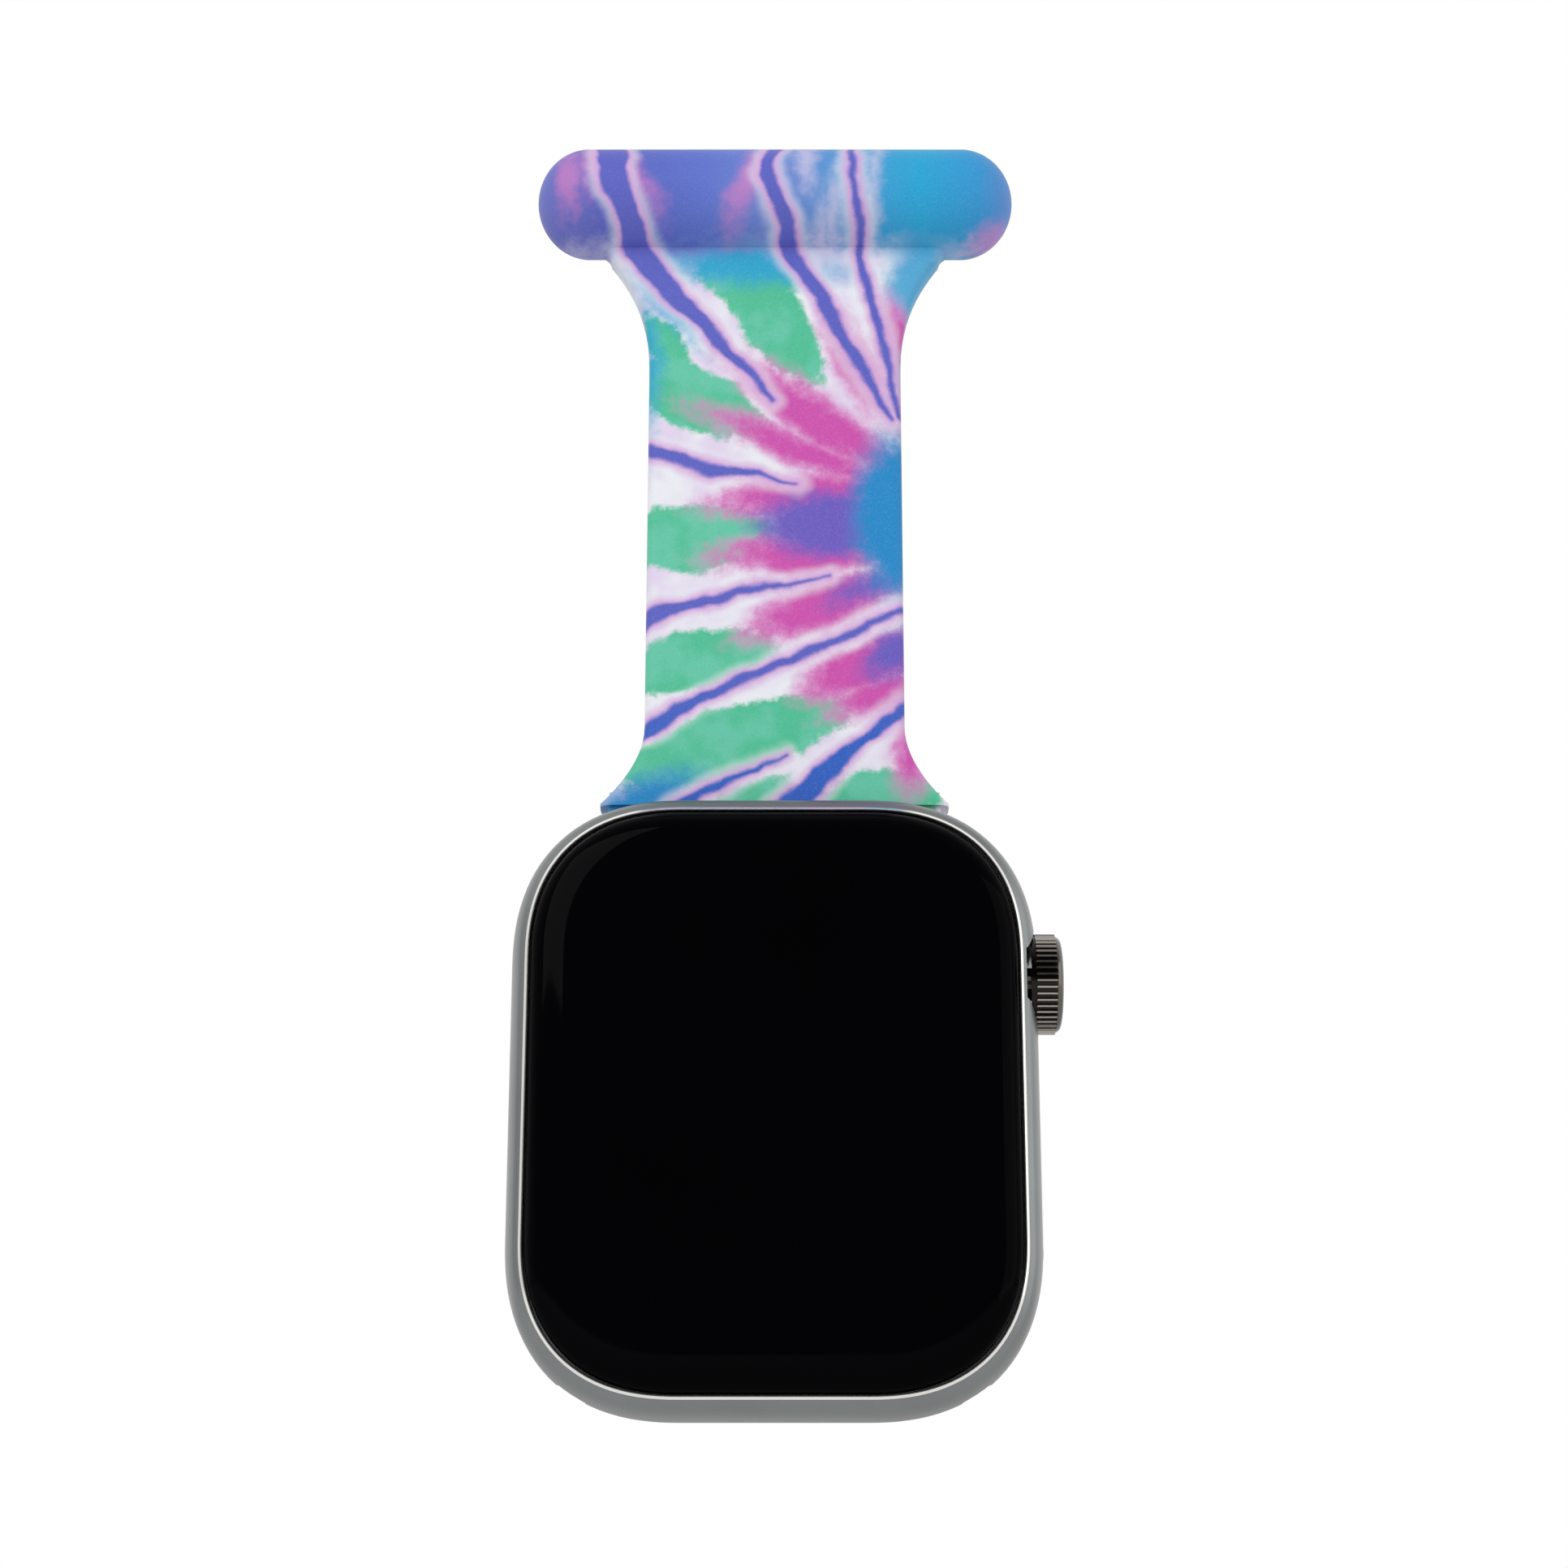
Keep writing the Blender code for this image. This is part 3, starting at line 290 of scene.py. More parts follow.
class Finish:
    def __init__(self, name, **sockets):
        self.material = bpy.data.materials.new(name)
        self.material.use_nodes = True
        self.tree = self.material.node_tree
        self.shader = self.tree.nodes["Principled BSDF"]
        self.place = self.node("TexCoord", out="Object")
        for socket, value in sockets.items():
            self.give(socket, value)

    def plug(self, socket, value):
        if isinstance(value, Wire):
            self.tree.links.new(value.socket, socket)
        else:
            socket.default_value = value

    def node(self, kind, settings=None, sockets=None, out=0):
        made = self.tree.nodes.new("ShaderNode" + kind)
        for name, value in (settings or {}).items():
            if name == "stops":
                while len(made.color_ramp.elements) < len(value):
                    made.color_ramp.elements.new(0.5)
                for element, (position, shade) in zip(made.color_ramp.elements, value):
                    element.position, element.color = position, shade
            else:
                setattr(made, name, value)
        for name, value in (sockets or {}).items():
            self.plug(made.inputs[name], value)
        return Wire(self, made.outputs[out])

    def give(self, socket, value):
        self.plug(self.shader.inputs[socket.replace("_", " ")], value)

    def noise(self, scale, detail=2.0, roughness=0.5, stretch=None):
        place = self.place
        if stretch:
            place = self.node("Mapping", {}, {"Vector": self.place, "Scale": stretch})
        sockets = {"Vector": place, "Scale": scale, "Detail": detail, "Roughness": roughness}
        return self.node("TexNoise", {}, sockets)

    def mix(self, mask, first, second):
        return self.node("Mix", {"data_type": "RGBA"}, {0: mask, 6: first, 7: second}, out=2)

    def bump(self, height, strength, distance):
        sockets = {"Height": height, "Strength": strength, "Distance": distance}
        self.give("Normal", self.node("Bump", {}, sockets))

    def parts(self, vector):
        # the three parts of a vector
        split = self.node("SeparateXYZ", {}, {0: vector}).socket.node
        return [Wire(self, output) for output in split.outputs]

    def axes(self):
        # the place on the surface, in mm
        return [part * 1000.0 for part in self.parts(self.place)]


# ---- metals, glass and board finishes


def metalFinish(name, tint, roughness, grain, blast):
    # grain is the noise scale of the surface, blast the depth of its texture in mm
    made = Finish(name, Metallic=1.0)
    fine = made.noise(grain, 3.0, 0.6)
    broad = made.noise(grain / 40, 2.0)
    made.give("Base_Color", made.mix(broad, colour(tint[0]), colour(tint[1])))
    made.give("Roughness", fine * 0.1 + (roughness - 0.05))
    made.bump(fine, 0.25, blast * mm)
    return made.material


def plasticFinish(name, tint, roughness, grain=2500):
    made = Finish(name)
    fine = made.noise(grain, 2.0)
    made.give("Base_Color", made.mix(fine, colour(tint[0]), colour(tint[1])))
    made.give("Roughness", fine * 0.12 + (roughness - 0.06))
    made.bump(fine, 0.15, 0.02 * mm)
    return made.material


satinAluminium = metalFinish("satinAluminium", ("868989", "8f9292"), 0.38, 9000, 0.01)
# the polished finish: the case's aluminium with a near-white tint, a painted highlight on the lip and the button's
# edges
polishedRimHighlight = metalFinish("polishedRimHighlight", ("f4f3ef", "fbfaf6"), 0.16, 5000, 0.002)
darkSteel = metalFinish("darkSteel", ("625d58", "706b66"), 0.16, 6000, 0.003)
broochSteel = metalFinish("broochSteel", ("c4c4c2", "d0d0cd"), 0.2, 4000, 0.004)
springSteel = metalFinish("springSteel", ("a8a8a6", "b4b4b1"), 0.3, 4000, 0.004)
copperWinding = metalFinish("copperWinding", ("b8683c", "c87c4c"), 0.35, 5000, 0.02)
sealRubber = plasticFinish("sealRubber", ("161616", "1d1d1d"), 0.75)
componentBlack = plasticFinish("componentBlack", ("101012", "18181a"), 0.45)
circuitBoard = plasticFinish("circuitBoard", ("0f3a24", "14492e"), 0.4, 900)
batteryFoil = plasticFinish("batteryFoil", ("202124", "2b2c30"), 0.35, 700)


def glassFinish():
    made = Finish("blackGlass", IOR=1.5, Specular_IOR_Level=0.02)
    film = made.noise(60, 2.0)
    made.give("Base_Color", made.mix(film, colour("020203"), colour("050507")))
    made.give("Roughness", film * 0.02 + 0.03)
    return made.material


def crystalFinish():
    # black crystal with a bright ring, four sensor windows and a middle lamp behind it
    made = Finish("sensorCrystal", IOR=1.5, Coat_Weight=0.6, Coat_Roughness=0.03)
    x, y, z = made.axes()
    across, upward = x - caseMiddle.x / mm, z - caseMiddle.z / mm
    radius = (across * across + upward * upward).root()
    window = (abs(abs(across) - 2.55).most(abs(abs(upward) - 2.55))).fade(1.15, 0.95)
    lamp = radius.fade(1.5, 1.35)
    ring = abs(radius - 6.3).fade(0.16, 0.08)
    rim = abs(radius - 10.3).fade(0.3, 0.22)
    base = made.mix(made.noise(400), colour("0b0c0e"), colour("121316"))
    base = made.mix(window * 0.8, base, colour("2f1f1c"))
    base = made.mix(lamp * 0.9, base, colour("1f3d30"))
    base = made.mix(ring.most(rim), base, colour("55585c"))
    made.give("Base_Color", base)
    made.give("Roughness", made.noise(300) * 0.03 + 0.06)
    made.give("Metallic", ring.most(rim) * 0.7)
    return made.material


def ceramicFinish():
    made = Finish("backCeramic", Coat_Weight=0.3, Coat_Roughness=0.1)
    fine = made.noise(3000, 2.0)
    made.give("Base_Color", made.mix(fine, colour("2b2c2f"), colour("323337")))
    made.give("Roughness", fine * 0.08 + 0.24)
    return made.material


def grilleFinish():
    # woven mesh behind the sound holes
    made = Finish("grilleMesh", Metallic=1.0)
    x, y, z = made.axes()
    threads = 22.0
    weave = (y * threads).sine() * (z * threads).sine()
    made.give("Base_Color", made.mix(weave.fade(-0.2, 0.4), colour("1a1a1a"), colour("6b6b6a")))
    made.give("Roughness", made.noise(3000) * 0.1 + 0.35)
    made.bump(weave, 0.4, 0.03 * mm)
    return made.material


def crownFinish():
    # knurled steel with painted shade: darker down between the teeth, a painted highlight on the tooth tops, and a
    # plain mid tone on the rounded end
    made = Finish("knurledSteelPaintedShade", Metallic=1.0)
    x, y, z = made.axes()
    outward, upward = y - crownMiddle.y / mm, z - crownMiddle.z / mm
    radius = (outward * outward + upward * upward).root()
    tip = (crownHigh.z - crownLow.z) / 2 / mm
    toothTopHighlight = radius.fade(tip - 0.17, tip - 0.05)
    end = x.fade(crownHigh.x / mm - 0.52, crownHigh.x / mm - 0.4)
    # painted shade in the grooves and a painted highlight on the tooth tops
    teeth = made.mix(toothTopHighlight, colour("2c2825"), colour("aaa59f"))
    made.give("Base_Color", made.mix(end, teeth, colour("6f6a65")))
    made.give("Roughness", made.noise(6000, 3.0) * 0.08 + 0.14)
    made.bump(made.noise(9000, 2.0), 0.15, 0.004 * mm)
    return made.material


knurledSteelPaintedShade = crownFinish()
blackGlass = glassFinish()
sensorCrystal = crystalFinish()
backCeramic = ceramicFinish()
grilleMesh = grilleFinish()
print("metal, glass and board finishes made")

# ---- the fob's tie-dye print, laid out on its front in mm from the pin's middle

tieDye = {
    "ground": ("e4e6ec", "dccfe6"),
    "green": ("4dbb93", "62c2a4"),
    "magenta": ("c84fa9", "d47fc0"),
    "halo": "cf9dd4",
    "streak": ("5a60bd", "2f5fbe"),
    "blue": "1f86c4",
    "violet": "6a5abb",
    "cyan": "1f9fce",
    # along the bar from its left end to its right
    "bar": [
        (0.0, "6a6fbe"),
        (0.16, "5560ba"),
        (0.36, "5a6fc6"),
        (0.52, "6f86cc"),
        (0.66, "3f93cc"),
        (0.8, "1fa0cf"),
        (0.92, "2f92cc"),
        (1.0, "5a86cc"),
    ],
    "barEnds": (-18.6, 18.6),
    "wander": 1.6,  # how far noise carries the edges, in mm
    # each streak: its points as (x, z), and its half width at each
    "streaks": [
        [(-12.9, 4.5, 1.1), (-12.5, 0.6, 1.0), (-10.6, -4.6, 0.95), (-6.8, -9.0, 0.62), (-0.2, -17.3, 0.1)],
        [(0.2, 4.5, 0.42), (-0.8, 0.4, 0.5), (1.7, -5.4, 0.5), (5.9, -12.8, 0.34), (8.9, -19.0, 0.15)],
        [(5.9, 4.5, 0.16), (6.7, -5.0, 0.24), (7.8, -10.5, 0.24), (9.6, -18.7, 0.14)],
        [(-10.0, -21.2, 0.42), (-5.2, -22.8, 0.4), (1.6, -24.2, 0.02)],
        [(-10.0, -35.5, 0.62), (-5.2, -33.6, 0.34), (4.4, -31.6, 0.02)],
        [(-10.0, -44.0, 0.5), (-4.5, -41.2, 0.3), (5.2, -36.3, 0.26), (10.4, -34.0, 0.14)],
        [(-7.6, -50.4, 0.4), (-3.0, -47.8, 0.2), (0.8, -46.0, 0.02)],
        [(0.4, -50.8, 0.95), (3.3, -47.8, 0.62), (6.4, -45.0, 0.34), (10.6, -41.2, 0.34)],
    ],
    # each patch: middle x, middle z, angle, half length, half width
    "greens": [
        (-0.2, -10.4, -57, 6.2, 2.3),
        (-2.2, -7.0, -20, 3.6, 1.9),
        (-6.2, -17.0, -28, 5.6, 2.4),
        (-8.6, -12.6, -60, 3.0, 1.3),
        (-6.4, -28.6, 2, 6.2, 2.6),
        (-6.2, -38.6, 14, 6.0, 2.2),
        (-3.2, -45.0, 18, 9.0, 2.6),
        (7.6, -49.4, 10, 4.6, 2.2),
        (-2.4, -49.6, 22, 3.6, 1.0),
    ],
    "magentas": [
        (2.4, -18.6, -40, 4.9, 1.1),
        (5.8, -20.2, -42, 4.6, 0.8),
        (2.4, -21.6, -24, 4.6, 0.8),
        (2.2, -25.0, 8, 4.6, 1.1),
        (6.6, -14.6, -62, 3.4, 0.9),
        (9.6, -13.0, -75, 2.8, 1.0),
        (2.8, -29.9, 2, 4.6, 1.1),
        (3.6, -34.0, 22, 4.2, 1.2),
        (6.8, -38.9, 24, 3.8, 1.5),
        (8.0, -41.2, 20, 2.6, 0.9),
        (10.4, -44.8, 85, 2.2, 0.8),
    ],
    "violets": [
        (4.8, -27.4, 0, 6.2, 2.5),
        (9.0, -37.8, 40, 2.6, 1.5),
        (7.6, -32.4, 20, 2.6, 0.8),
        (7.0, -24.6, 30, 2.4, 0.8),
    ],
    "blues": [
        (9.6, -26.8, 90, 6.4, 3.4),
        (-10.0, -49.8, 24, 4.2, 1.7),
        (9.4, -16.6, 80, 1.8, 0.5),
    ],
    "cyans": [
        (-2.4, -5.6, -6, 6.8, 1.5),
        (10.8, -7.4, 72, 4.2, 1.9),
        (-8.4, -8.9, -52, 3.0, 0.8),
        (-9.9, -14.0, 90, 3.4, 0.5),
    ],
    "barPinks": [
        (-15.9, 0.6, 90, 2.0, 0.8),
        (-10.6, 0.6, -60, 1.9, 0.5),
        (-14.4, 2.2, 90, 2.0, 0.5),
        (17.4, -3.4, 25, 1.4, 0.5),
        (-2.2, 0.2, 70, 2.6, 0.6),
    ],
    "barPales": [
        (2.6, 2.2, 90, 1.8, 0.6),
        (4.6, -2.4, 80, 2.6, 0.5),
        (7.9, 1.0, 86, 3.4, 0.35),
        (3.4, -4.6, 80, 2.4, 0.5),
    ],
}


def printedSilicone():
    made = Finish("printedSilicone", Specular_IOR_Level=0.18)
    x, y, z = made.axes()
    broad = made.noise(300, 2.0)
    medium = made.noise(1300, 3.0, 0.6)
    spray = made.noise(9000, 2.0, 0.7)
    drift = made.node("TexNoise", {}, {"Vector": made.place, "Scale": 260.0, "Detail": 2.0}, out=1)
    shifted = made.node(
        "VectorMath", {"operation": "SUBTRACT"}, {0: drift, 1: (0.5, 0.5, 0.5)}
    )
    wander = made.parts(shifted)
    u = x + wander[0] * tieDye["wander"]
    v = z + wander[2] * tieDye["wander"]
    ragged = (medium - 0.5) * 1.1 + (spray - 0.5) * 0.25

    def streakField(points):
        field = None
        for (ax, az, aw), (bx, bz, bw) in zip(points, points[1:]):
            lx, lz = bx - ax, bz - az
            reach = lx * lx + lz * lz
            px, pz = u - ax, v - az
            share = (px * (lx / reach) + pz * (lz / reach)).limited()
            dx, dz = px - share * lx, pz - share * lz
            gap = (dx * dx + dz * dz).root() - (share * (bw - aw) + aw)
            field = gap if field is None else field.least(gap)
        return field

    def patchField(patches):
        # below 0 inside, in mm near the edge
        field = None
        for mx, mz, angle, long, short in patches:
            cx, cz = math.cos(math.radians(angle)), math.sin(math.radians(angle))
            px, pz = u - mx, v - mz
            along = (px * cx + pz * cz) / long
            across = (pz * cx - px * cz) / short
            gap = ((along * along + across * across).root() - 1.0) * short
            field = gap if field is None else field.least(gap)
        return field

    streaks = None
    for points in tieDye["streaks"]:
        field = streakField(points)
        streaks = field if streaks is None else streaks.least(field)

    def painted(base, patches, shade, start, end, strength=1.0):
        mask = (patchField(tieDye[patches]) + ragged).fade(start, end) * strength
        return made.mix(mask, base, shade)

    low, high = tieDye["barEnds"]
    along = (u - low) / (high - low)
    stops = [(position, colour(code)) for position, code in tieDye["bar"]]
    barTone = made.node("ValToRGB", {"stops": stops}, {"Fac": along})
    tone = made.mix(broad.fade(0.35, 0.65), colour(tieDye["ground"][0]), colour(tieDye["ground"][1]))
    green = made.mix(broad.fade(0.4, 0.62), colour(tieDye["green"][0]), colour(tieDye["green"][1]))
    magentaEdge = colour(tieDye["magenta"][1])
    tone = painted(tone, "greens", green, 0.4, -0.2)
    tone = painted(tone, "cyans", colour(tieDye["cyan"]), 1.3, -0.8, 0.9)
    tone = made.mix((v + ragged).fade(-5.6, -3.4), tone, barTone)
    tone = painted(tone, "barPales", colour(tieDye["ground"][1]), 0.9, -0.6, 0.55)
    tone = painted(tone, "barPinks", magentaEdge, 0.9, -0.5, 0.6)
    tone = painted(tone, "magentas", magentaEdge, 1.4, 0.2, 0.8)
    tone = painted(tone, "magentas", colour(tieDye["magenta"][0]), 0.8, -0.4)
    tone = painted(tone, "violets", colour(tieDye["violet"]), 1.0, -0.9)
    tone = painted(tone, "blues", colour(tieDye["blue"]), 1.3, -1.1)
    edge = streaks + ragged * 0.22
    tone = made.mix(edge.fade(1.4, 0.4) * 0.5, tone, colour(tieDye["ground"][0]))
    tone = made.mix(edge.fade(0.9, 0.05) * 0.85, tone, colour(tieDye["halo"]))
    core = made.mix(v.fade(-38, -46), colour(tieDye["streak"][0]), colour(tieDye["streak"][1]))
    tone = made.mix(edge.fade(0.3, -0.14), tone, core)
    speck = (spray - 0.5) * 0.22
    tone = made.mix(speck.limited(), tone, (1.0, 1.0, 1.0, 1.0))
    tone = made.mix((speck * -1.0).limited(), tone, colour("4a5a9a"))
    made.give("Base_Color", tone)
    made.give("Roughness", medium * 0.12 + 0.42)
    made.bump(made.noise(5000, 3.0, 0.6), 0.2, 0.02 * mm)
    return made.material


siliconePrint = printedSilicone()
print("tie-dye silicone made")

# ---- watch case

watchCase = {
    "corner": 12.5,
    "squareness": 0.5544,  # superelliptic corners, a little squarer than round
    "cornerSegments": 28,
    "frontDepth": 4.4,
    "backDepth": 5.6,
    # (inset, depth below the glass's front)
    "front": [(0, 4.4), (0.02, 3.9), (0.07, 3.4), (0.15, 2.9), (0.27, 2.45), (0.41, 2.08), (0.58, 1.8),
              (0.76, 1.62), (0.95, 1.54), (1.12, 1.38), (1.3, 1.25), (1.38, 1.25), (1.44, 1.31)],
    "back": [(0, 5.6), (0.04, 6.1), (0.12, 6.6), (0.26, 7.1), (0.45, 7.6), (0.7, 8.05), (1.0, 8.42),
             (1.35, 8.72), (1.75, 8.96), (2.2, 9.12), (2.6, 9.2)],
    "ledge": 2.05,
    "pocket": (2.6, 3.6),
    "cavity": (2.9, 8.2),
    "recess": (14.6, 16.6, 8.0, 8.5),
    "opening": (13.4, 15.4, 7.0),
    "channelDepth": 6.1,
    "throat": (2.2, 1.3),
    "undercut": (3.6, 2.8),
    "crownRecess": 3.9,
    "crownFace": 18.1,
    "controlDepth": 5.0,
    "crownBore": 2.26,
    "buttonSlot": (10.36, 2.56),
    "plungerHole": (3.16, 1.76),
    "microphone": (2.4, 0.4),  # height above the middle, radius
    "speakerSlots": (2.6, 7.6),
    "speakerSlot": (4.4, 1.0),
    "releaseHole": (4.56, 1.16),
    "releaseInset": 2.05,
}


def at(x, depth, up):
    return Vector((x * mm, frontY + depth * mm, caseMiddle.z + up * mm))


def caseBlock(name, halfX, halfZ, corner, near, far, segments=None):
    piece = addBlock(name, at(-halfX, near, -halfZ), at(halfX, far, halfZ))
    return roundUprights(
        piece, 1, corner * mm, segments or watchCase["cornerSegments"], watchCase["squareness"]
    )


halfWide, halfTall = caseHigh.x / mm, (caseHigh.z - caseLow.z) / 2 / mm
caseShell = caseBlock(
    "caseShell", halfWide, halfTall, watchCase["corner"], watchCase["frontDepth"], watchCase["backDepth"]
)
frontSteps = [(inward, -deeper) for inward, deeper in differences(watchCase["front"])]
frontSteps += [(0, -(watchCase["ledge"] - 1.31))]
frontSteps += [(watchCase["pocket"][0] - 1.44, 0), (0, -(watchCase["pocket"][1] - watchCase["ledge"]))]
frontSteps += [(watchCase["cavity"][0] - watchCase["pocket"][0], 0)]
frontSteps += [(0, -(watchCase["cavity"][1] - watchCase["pocket"][1]))]
stepFace(caseShell, (0, 1, 0), differences(watchCase["back"]))
stepFace(caseShell, (0, -1, 0), frontSteps)
cutters = [
    caseBlock("backRecess", *watchCase["recess"], 10.0, 16),
    caseBlock("backOpening", *watchCase["opening"], 7.9, 10.0, 16),
]
for side in (1, -1):
    for width, height in (watchCase["throat"], watchCase["undercut"]):
        near, far = watchCase["channelDepth"] - width / 2, watchCase["channelDepth"] + width / 2
        low = side * (halfTall + (1 if height < 2 else -watchCase["throat"][1]))
        high = side * (halfTall - height)
        cutters.append(addBlock("channel", at(-20, near, min(low, high)), at(20, far, max(low, high))))
        if height > 2:
            roundUprights(cutters[-1], 0, 0.35 * mm, 3)
crownUp = (crownMiddle.z - caseMiddle.z) / mm
recessFloor, controlDepth = watchCase["crownFace"], watchCase["controlDepth"]
recessMiddle = at((recessFloor + 20) / 2, controlDepth, crownUp)
cutters += [
    addRod("crownRecess", recessMiddle, watchCase["crownRecess"] * mm, (20 - recessFloor) * mm, "X", 128),
    addRod("crownBore", at(17, controlDepth, crownUp), watchCase["crownBore"] * mm, 4 * mm, "X", 64),
]
buttonUp = ((buttonLow.z + buttonHigh.z) / 2 - caseMiddle.z) / mm


def cutSlot(name, size, up, low, high, axis="X"):
    length, width = size
    centre = at(0, controlDepth, up)
    return stadiumBlock(name, centre, length * mm, width * mm, low * mm, high * mm, axis)


cutters.append(cutSlot("buttonSlot", watchCase["buttonSlot"], buttonUp, 17, 20))
cutters.append(cutSlot("plungerHole", watchCase["plungerHole"], buttonUp, 15, 17.5))
micUp, micRadius = watchCase["microphone"]
cutters.append(addRod("micHole", at(17.5, controlDepth, micUp), micRadius * mm, 5 * mm, "X", 24))
for up in watchCase["speakerSlots"]:
    cutters.append(cutSlot("speakerSlot", watchCase["speakerSlot"], up, -20, -15))
frontMm = frontY / mm
for side in (1, -1):
    up = side * (halfTall - watchCase["releaseInset"])
    cutters.append(cutSlot("releaseHole", watchCase["releaseHole"], up, frontMm + 7.6, frontMm + 10, "Y"))
carve(caseShell, cutters)
smooth(caseShell, 30)
wear(caseShell, satinAluminium, polishedRimHighlight)
for face in caseShell.data.polygons:
    # the narrow raised lip round the glass gets the polished finish, whose near-white tint is a painted highlight
    depth = (face.center.y - frontY) / mm
    if depth < 1.37 and face.normal.y < -0.4:
        face.material_index = 1
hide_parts("case_body")
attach(caseShell, "case")
print("watch case made")

# ---- cover glass

coverGlass = {
    "under": 1.77,
    "edge": 1.3,
    "roll": [(0, 1.3), (0.05, 1.18), (0.13, 1.04), (0.25, 0.88), (0.42, 0.71), (0.65, 0.54), (0.95, 0.38),
             (1.35, 0.24), (1.85, 0.13), (2.5, 0.06), (3.3, 0.02), (4.2, 0.0)],
}
glassHalfX, glassHalfZ = glassHigh.x / mm, (glassHigh.z - glassLow.z) / 2 / mm
glassCorner = watchCase["corner"] - (halfWide - glassHalfX)
glassFront = caseBlock(
    "glassFront", glassHalfX, glassHalfZ, glassCorner, coverGlass["edge"], coverGlass["under"]
)
stepFace(
    glassFront, (0, -1, 0), [(inward, -deeper) for inward, deeper in differences(coverGlass["roll"])]
)
smooth(glassFront, 40)
wear(glassFront, blackGlass)
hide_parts("cover_glass")
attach(glassFront, "case")
print("cover glass made")

# ---- crown

crownWheel = {
    "teeth": 48,
    "toothHeight": 0.17,
    "toothInset": 0.05,
    "band": (0.34, 0.5),  # the knurled band's distance from the back and the outer end
    "endRound": [(0, 0), (0.04, 0.12), (0.12, 0.24), (0.25, 0.34), (0.42, 0.4), (0.65, 0.44), (0.98, 0.45)],
    "capRadius": 2.6,
}
crownRadius = (crownHigh.z - crownLow.z) / 2 - crownWheel["toothHeight"] * mm
crownLength = crownHigh.x - crownLow.x - crownWheel["endRound"][-1][1] * mm
crownCentre = Vector((crownLow.x + crownLength / 2, crownMiddle.y, crownMiddle.z))
crownBody = addRod("crownBody", crownCentre, crownRadius, crownLength, "X", crownWheel["teeth"] * 2)
for edgeX in (crownLow.x + crownWheel["band"][0] * mm, crownHigh.x - crownWheel["band"][1] * mm):
    pick(crownBody, "FACE", lambda face: True)
    bpy.ops.mesh.bisect(plane_co=(edgeX, 0, 0), plane_no=(1, 0, 0))
    bpy.ops.object.mode_set(mode="OBJECT")


def onTooth(face):
    spoke = face.center - crownCentre
    turn = math.degrees(math.atan2(spoke.z, spoke.y)) % 360
    inBand = crownLow.x + 0.35 * mm < face.center.x < crownHigh.x - 0.51 * mm
    return inBand and abs(face.normal.x) < 0.1 and int(turn / (180 / crownWheel["teeth"])) % 2 == 0


pick(crownBody, "FACE", onTooth)
bpy.ops.mesh.inset(
    thickness=crownWheel["toothInset"] * mm, depth=crownWheel["toothHeight"] * mm, use_individual=True
)
bpy.ops.object.mode_set(mode="OBJECT")
stepFace(crownBody, (1, 0, 0), differences(crownWheel["endRound"]) + [(0, -0.3)])
stepFace(crownBody, (-1, 0, 0), [(0.12, 0.0), (0.4, -0.12)])
socket = addRod("socket", crownCentre - Vector((crownLength / 2, 0, 0)), 1.27 * mm, 2.5 * mm, "X", 48)
carve(crownBody, [socket])
smooth(crownBody, 28)
wear(crownBody, knurledSteelPaintedShade)
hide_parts("crown_knob")
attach(crownBody, "crown")

capLow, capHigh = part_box("crown_cap")
crownFace = addRod(
    "crownFace",
    ((capLow.x + capHigh.x) / 2 - 0.06 * mm, crownMiddle.y, crownMiddle.z),
    crownWheel["capRadius"] * mm,
    capHigh.x - capLow.x - 0.12 * mm,
    "X",
    96,
)
stepFace(crownFace, (1, 0, 0), [(0.12, 0.05), (0.5, 0.04), (0.9, 0.03)])
smooth(crownFace, 40)
wear(crownFace, blackGlass)
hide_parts("crown_cap")
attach(crownFace, "crown")
print("crown made")

# ---- side button

sideButton = {"length": 10.2, "width": 2.4, "edge": [(0, 0), (0.05, 0.09), (0.13, 0.15), (0.24, 0.18)]}
buttonBar = stadiumBlock(
    "buttonBar", at(0, 5, buttonUp), sideButton["length"] * mm, sideButton["width"] * mm,
    17.3 * mm, buttonHigh.x - 0.18 * mm,
)
stepFace(buttonBar, (1, 0, 0), differences(sideButton["edge"]))
plunger = stadiumBlock(
    "plunger", at(0, 5, buttonUp), 3.0 * mm, 1.6 * mm, buttonLow.x, 17.6 * mm
)
carve(buttonBar, [plunger], "UNION")
smooth(buttonBar, 40)
wear(buttonBar, satinAluminium, polishedRimHighlight)
# the button's chamfered outer edge gets the polished finish, a near-white painted highlight
for face in buttonBar.data.polygons:
    if 0.1 < face.normal.x < 0.97 and face.center.x > buttonHigh.x - 0.4 * mm:
        face.material_index = 1
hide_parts("side_button")
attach(buttonBar, "side_button")
print("side button made")

# ---- back cover and crystal

backCrystal = {
    "radius": 11.4,
    "dome": [(0, 0), (0.12, 0.34), (0.4, 0.6), (0.9, 0.84), (1.7, 1.06), (2.9, 1.24), (4.6, 1.38), (6.8, 1.46),
             (9.0, 1.49), (10.6, 1.5)],
}
coverPlate = caseBlock(
    "coverPlate", coverHigh.x / mm, (coverHigh.z - coverLow.z) / 2 / mm, 7.92,
    (coverLow.y - frontY) / mm, (coverHigh.y - frontY) / mm, 24,
)
crystalHole = addRod("crystalHole", at(0, 9, 0), (backCrystal["radius"] + 0.08) * mm, 4 * mm, "Y", 128)
carve(coverPlate, [crystalHole])
smooth(soften(coverPlate, 0.08), 40)
wear(coverPlate, backCeramic)
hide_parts("back_cover")
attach(coverPlate, "case")

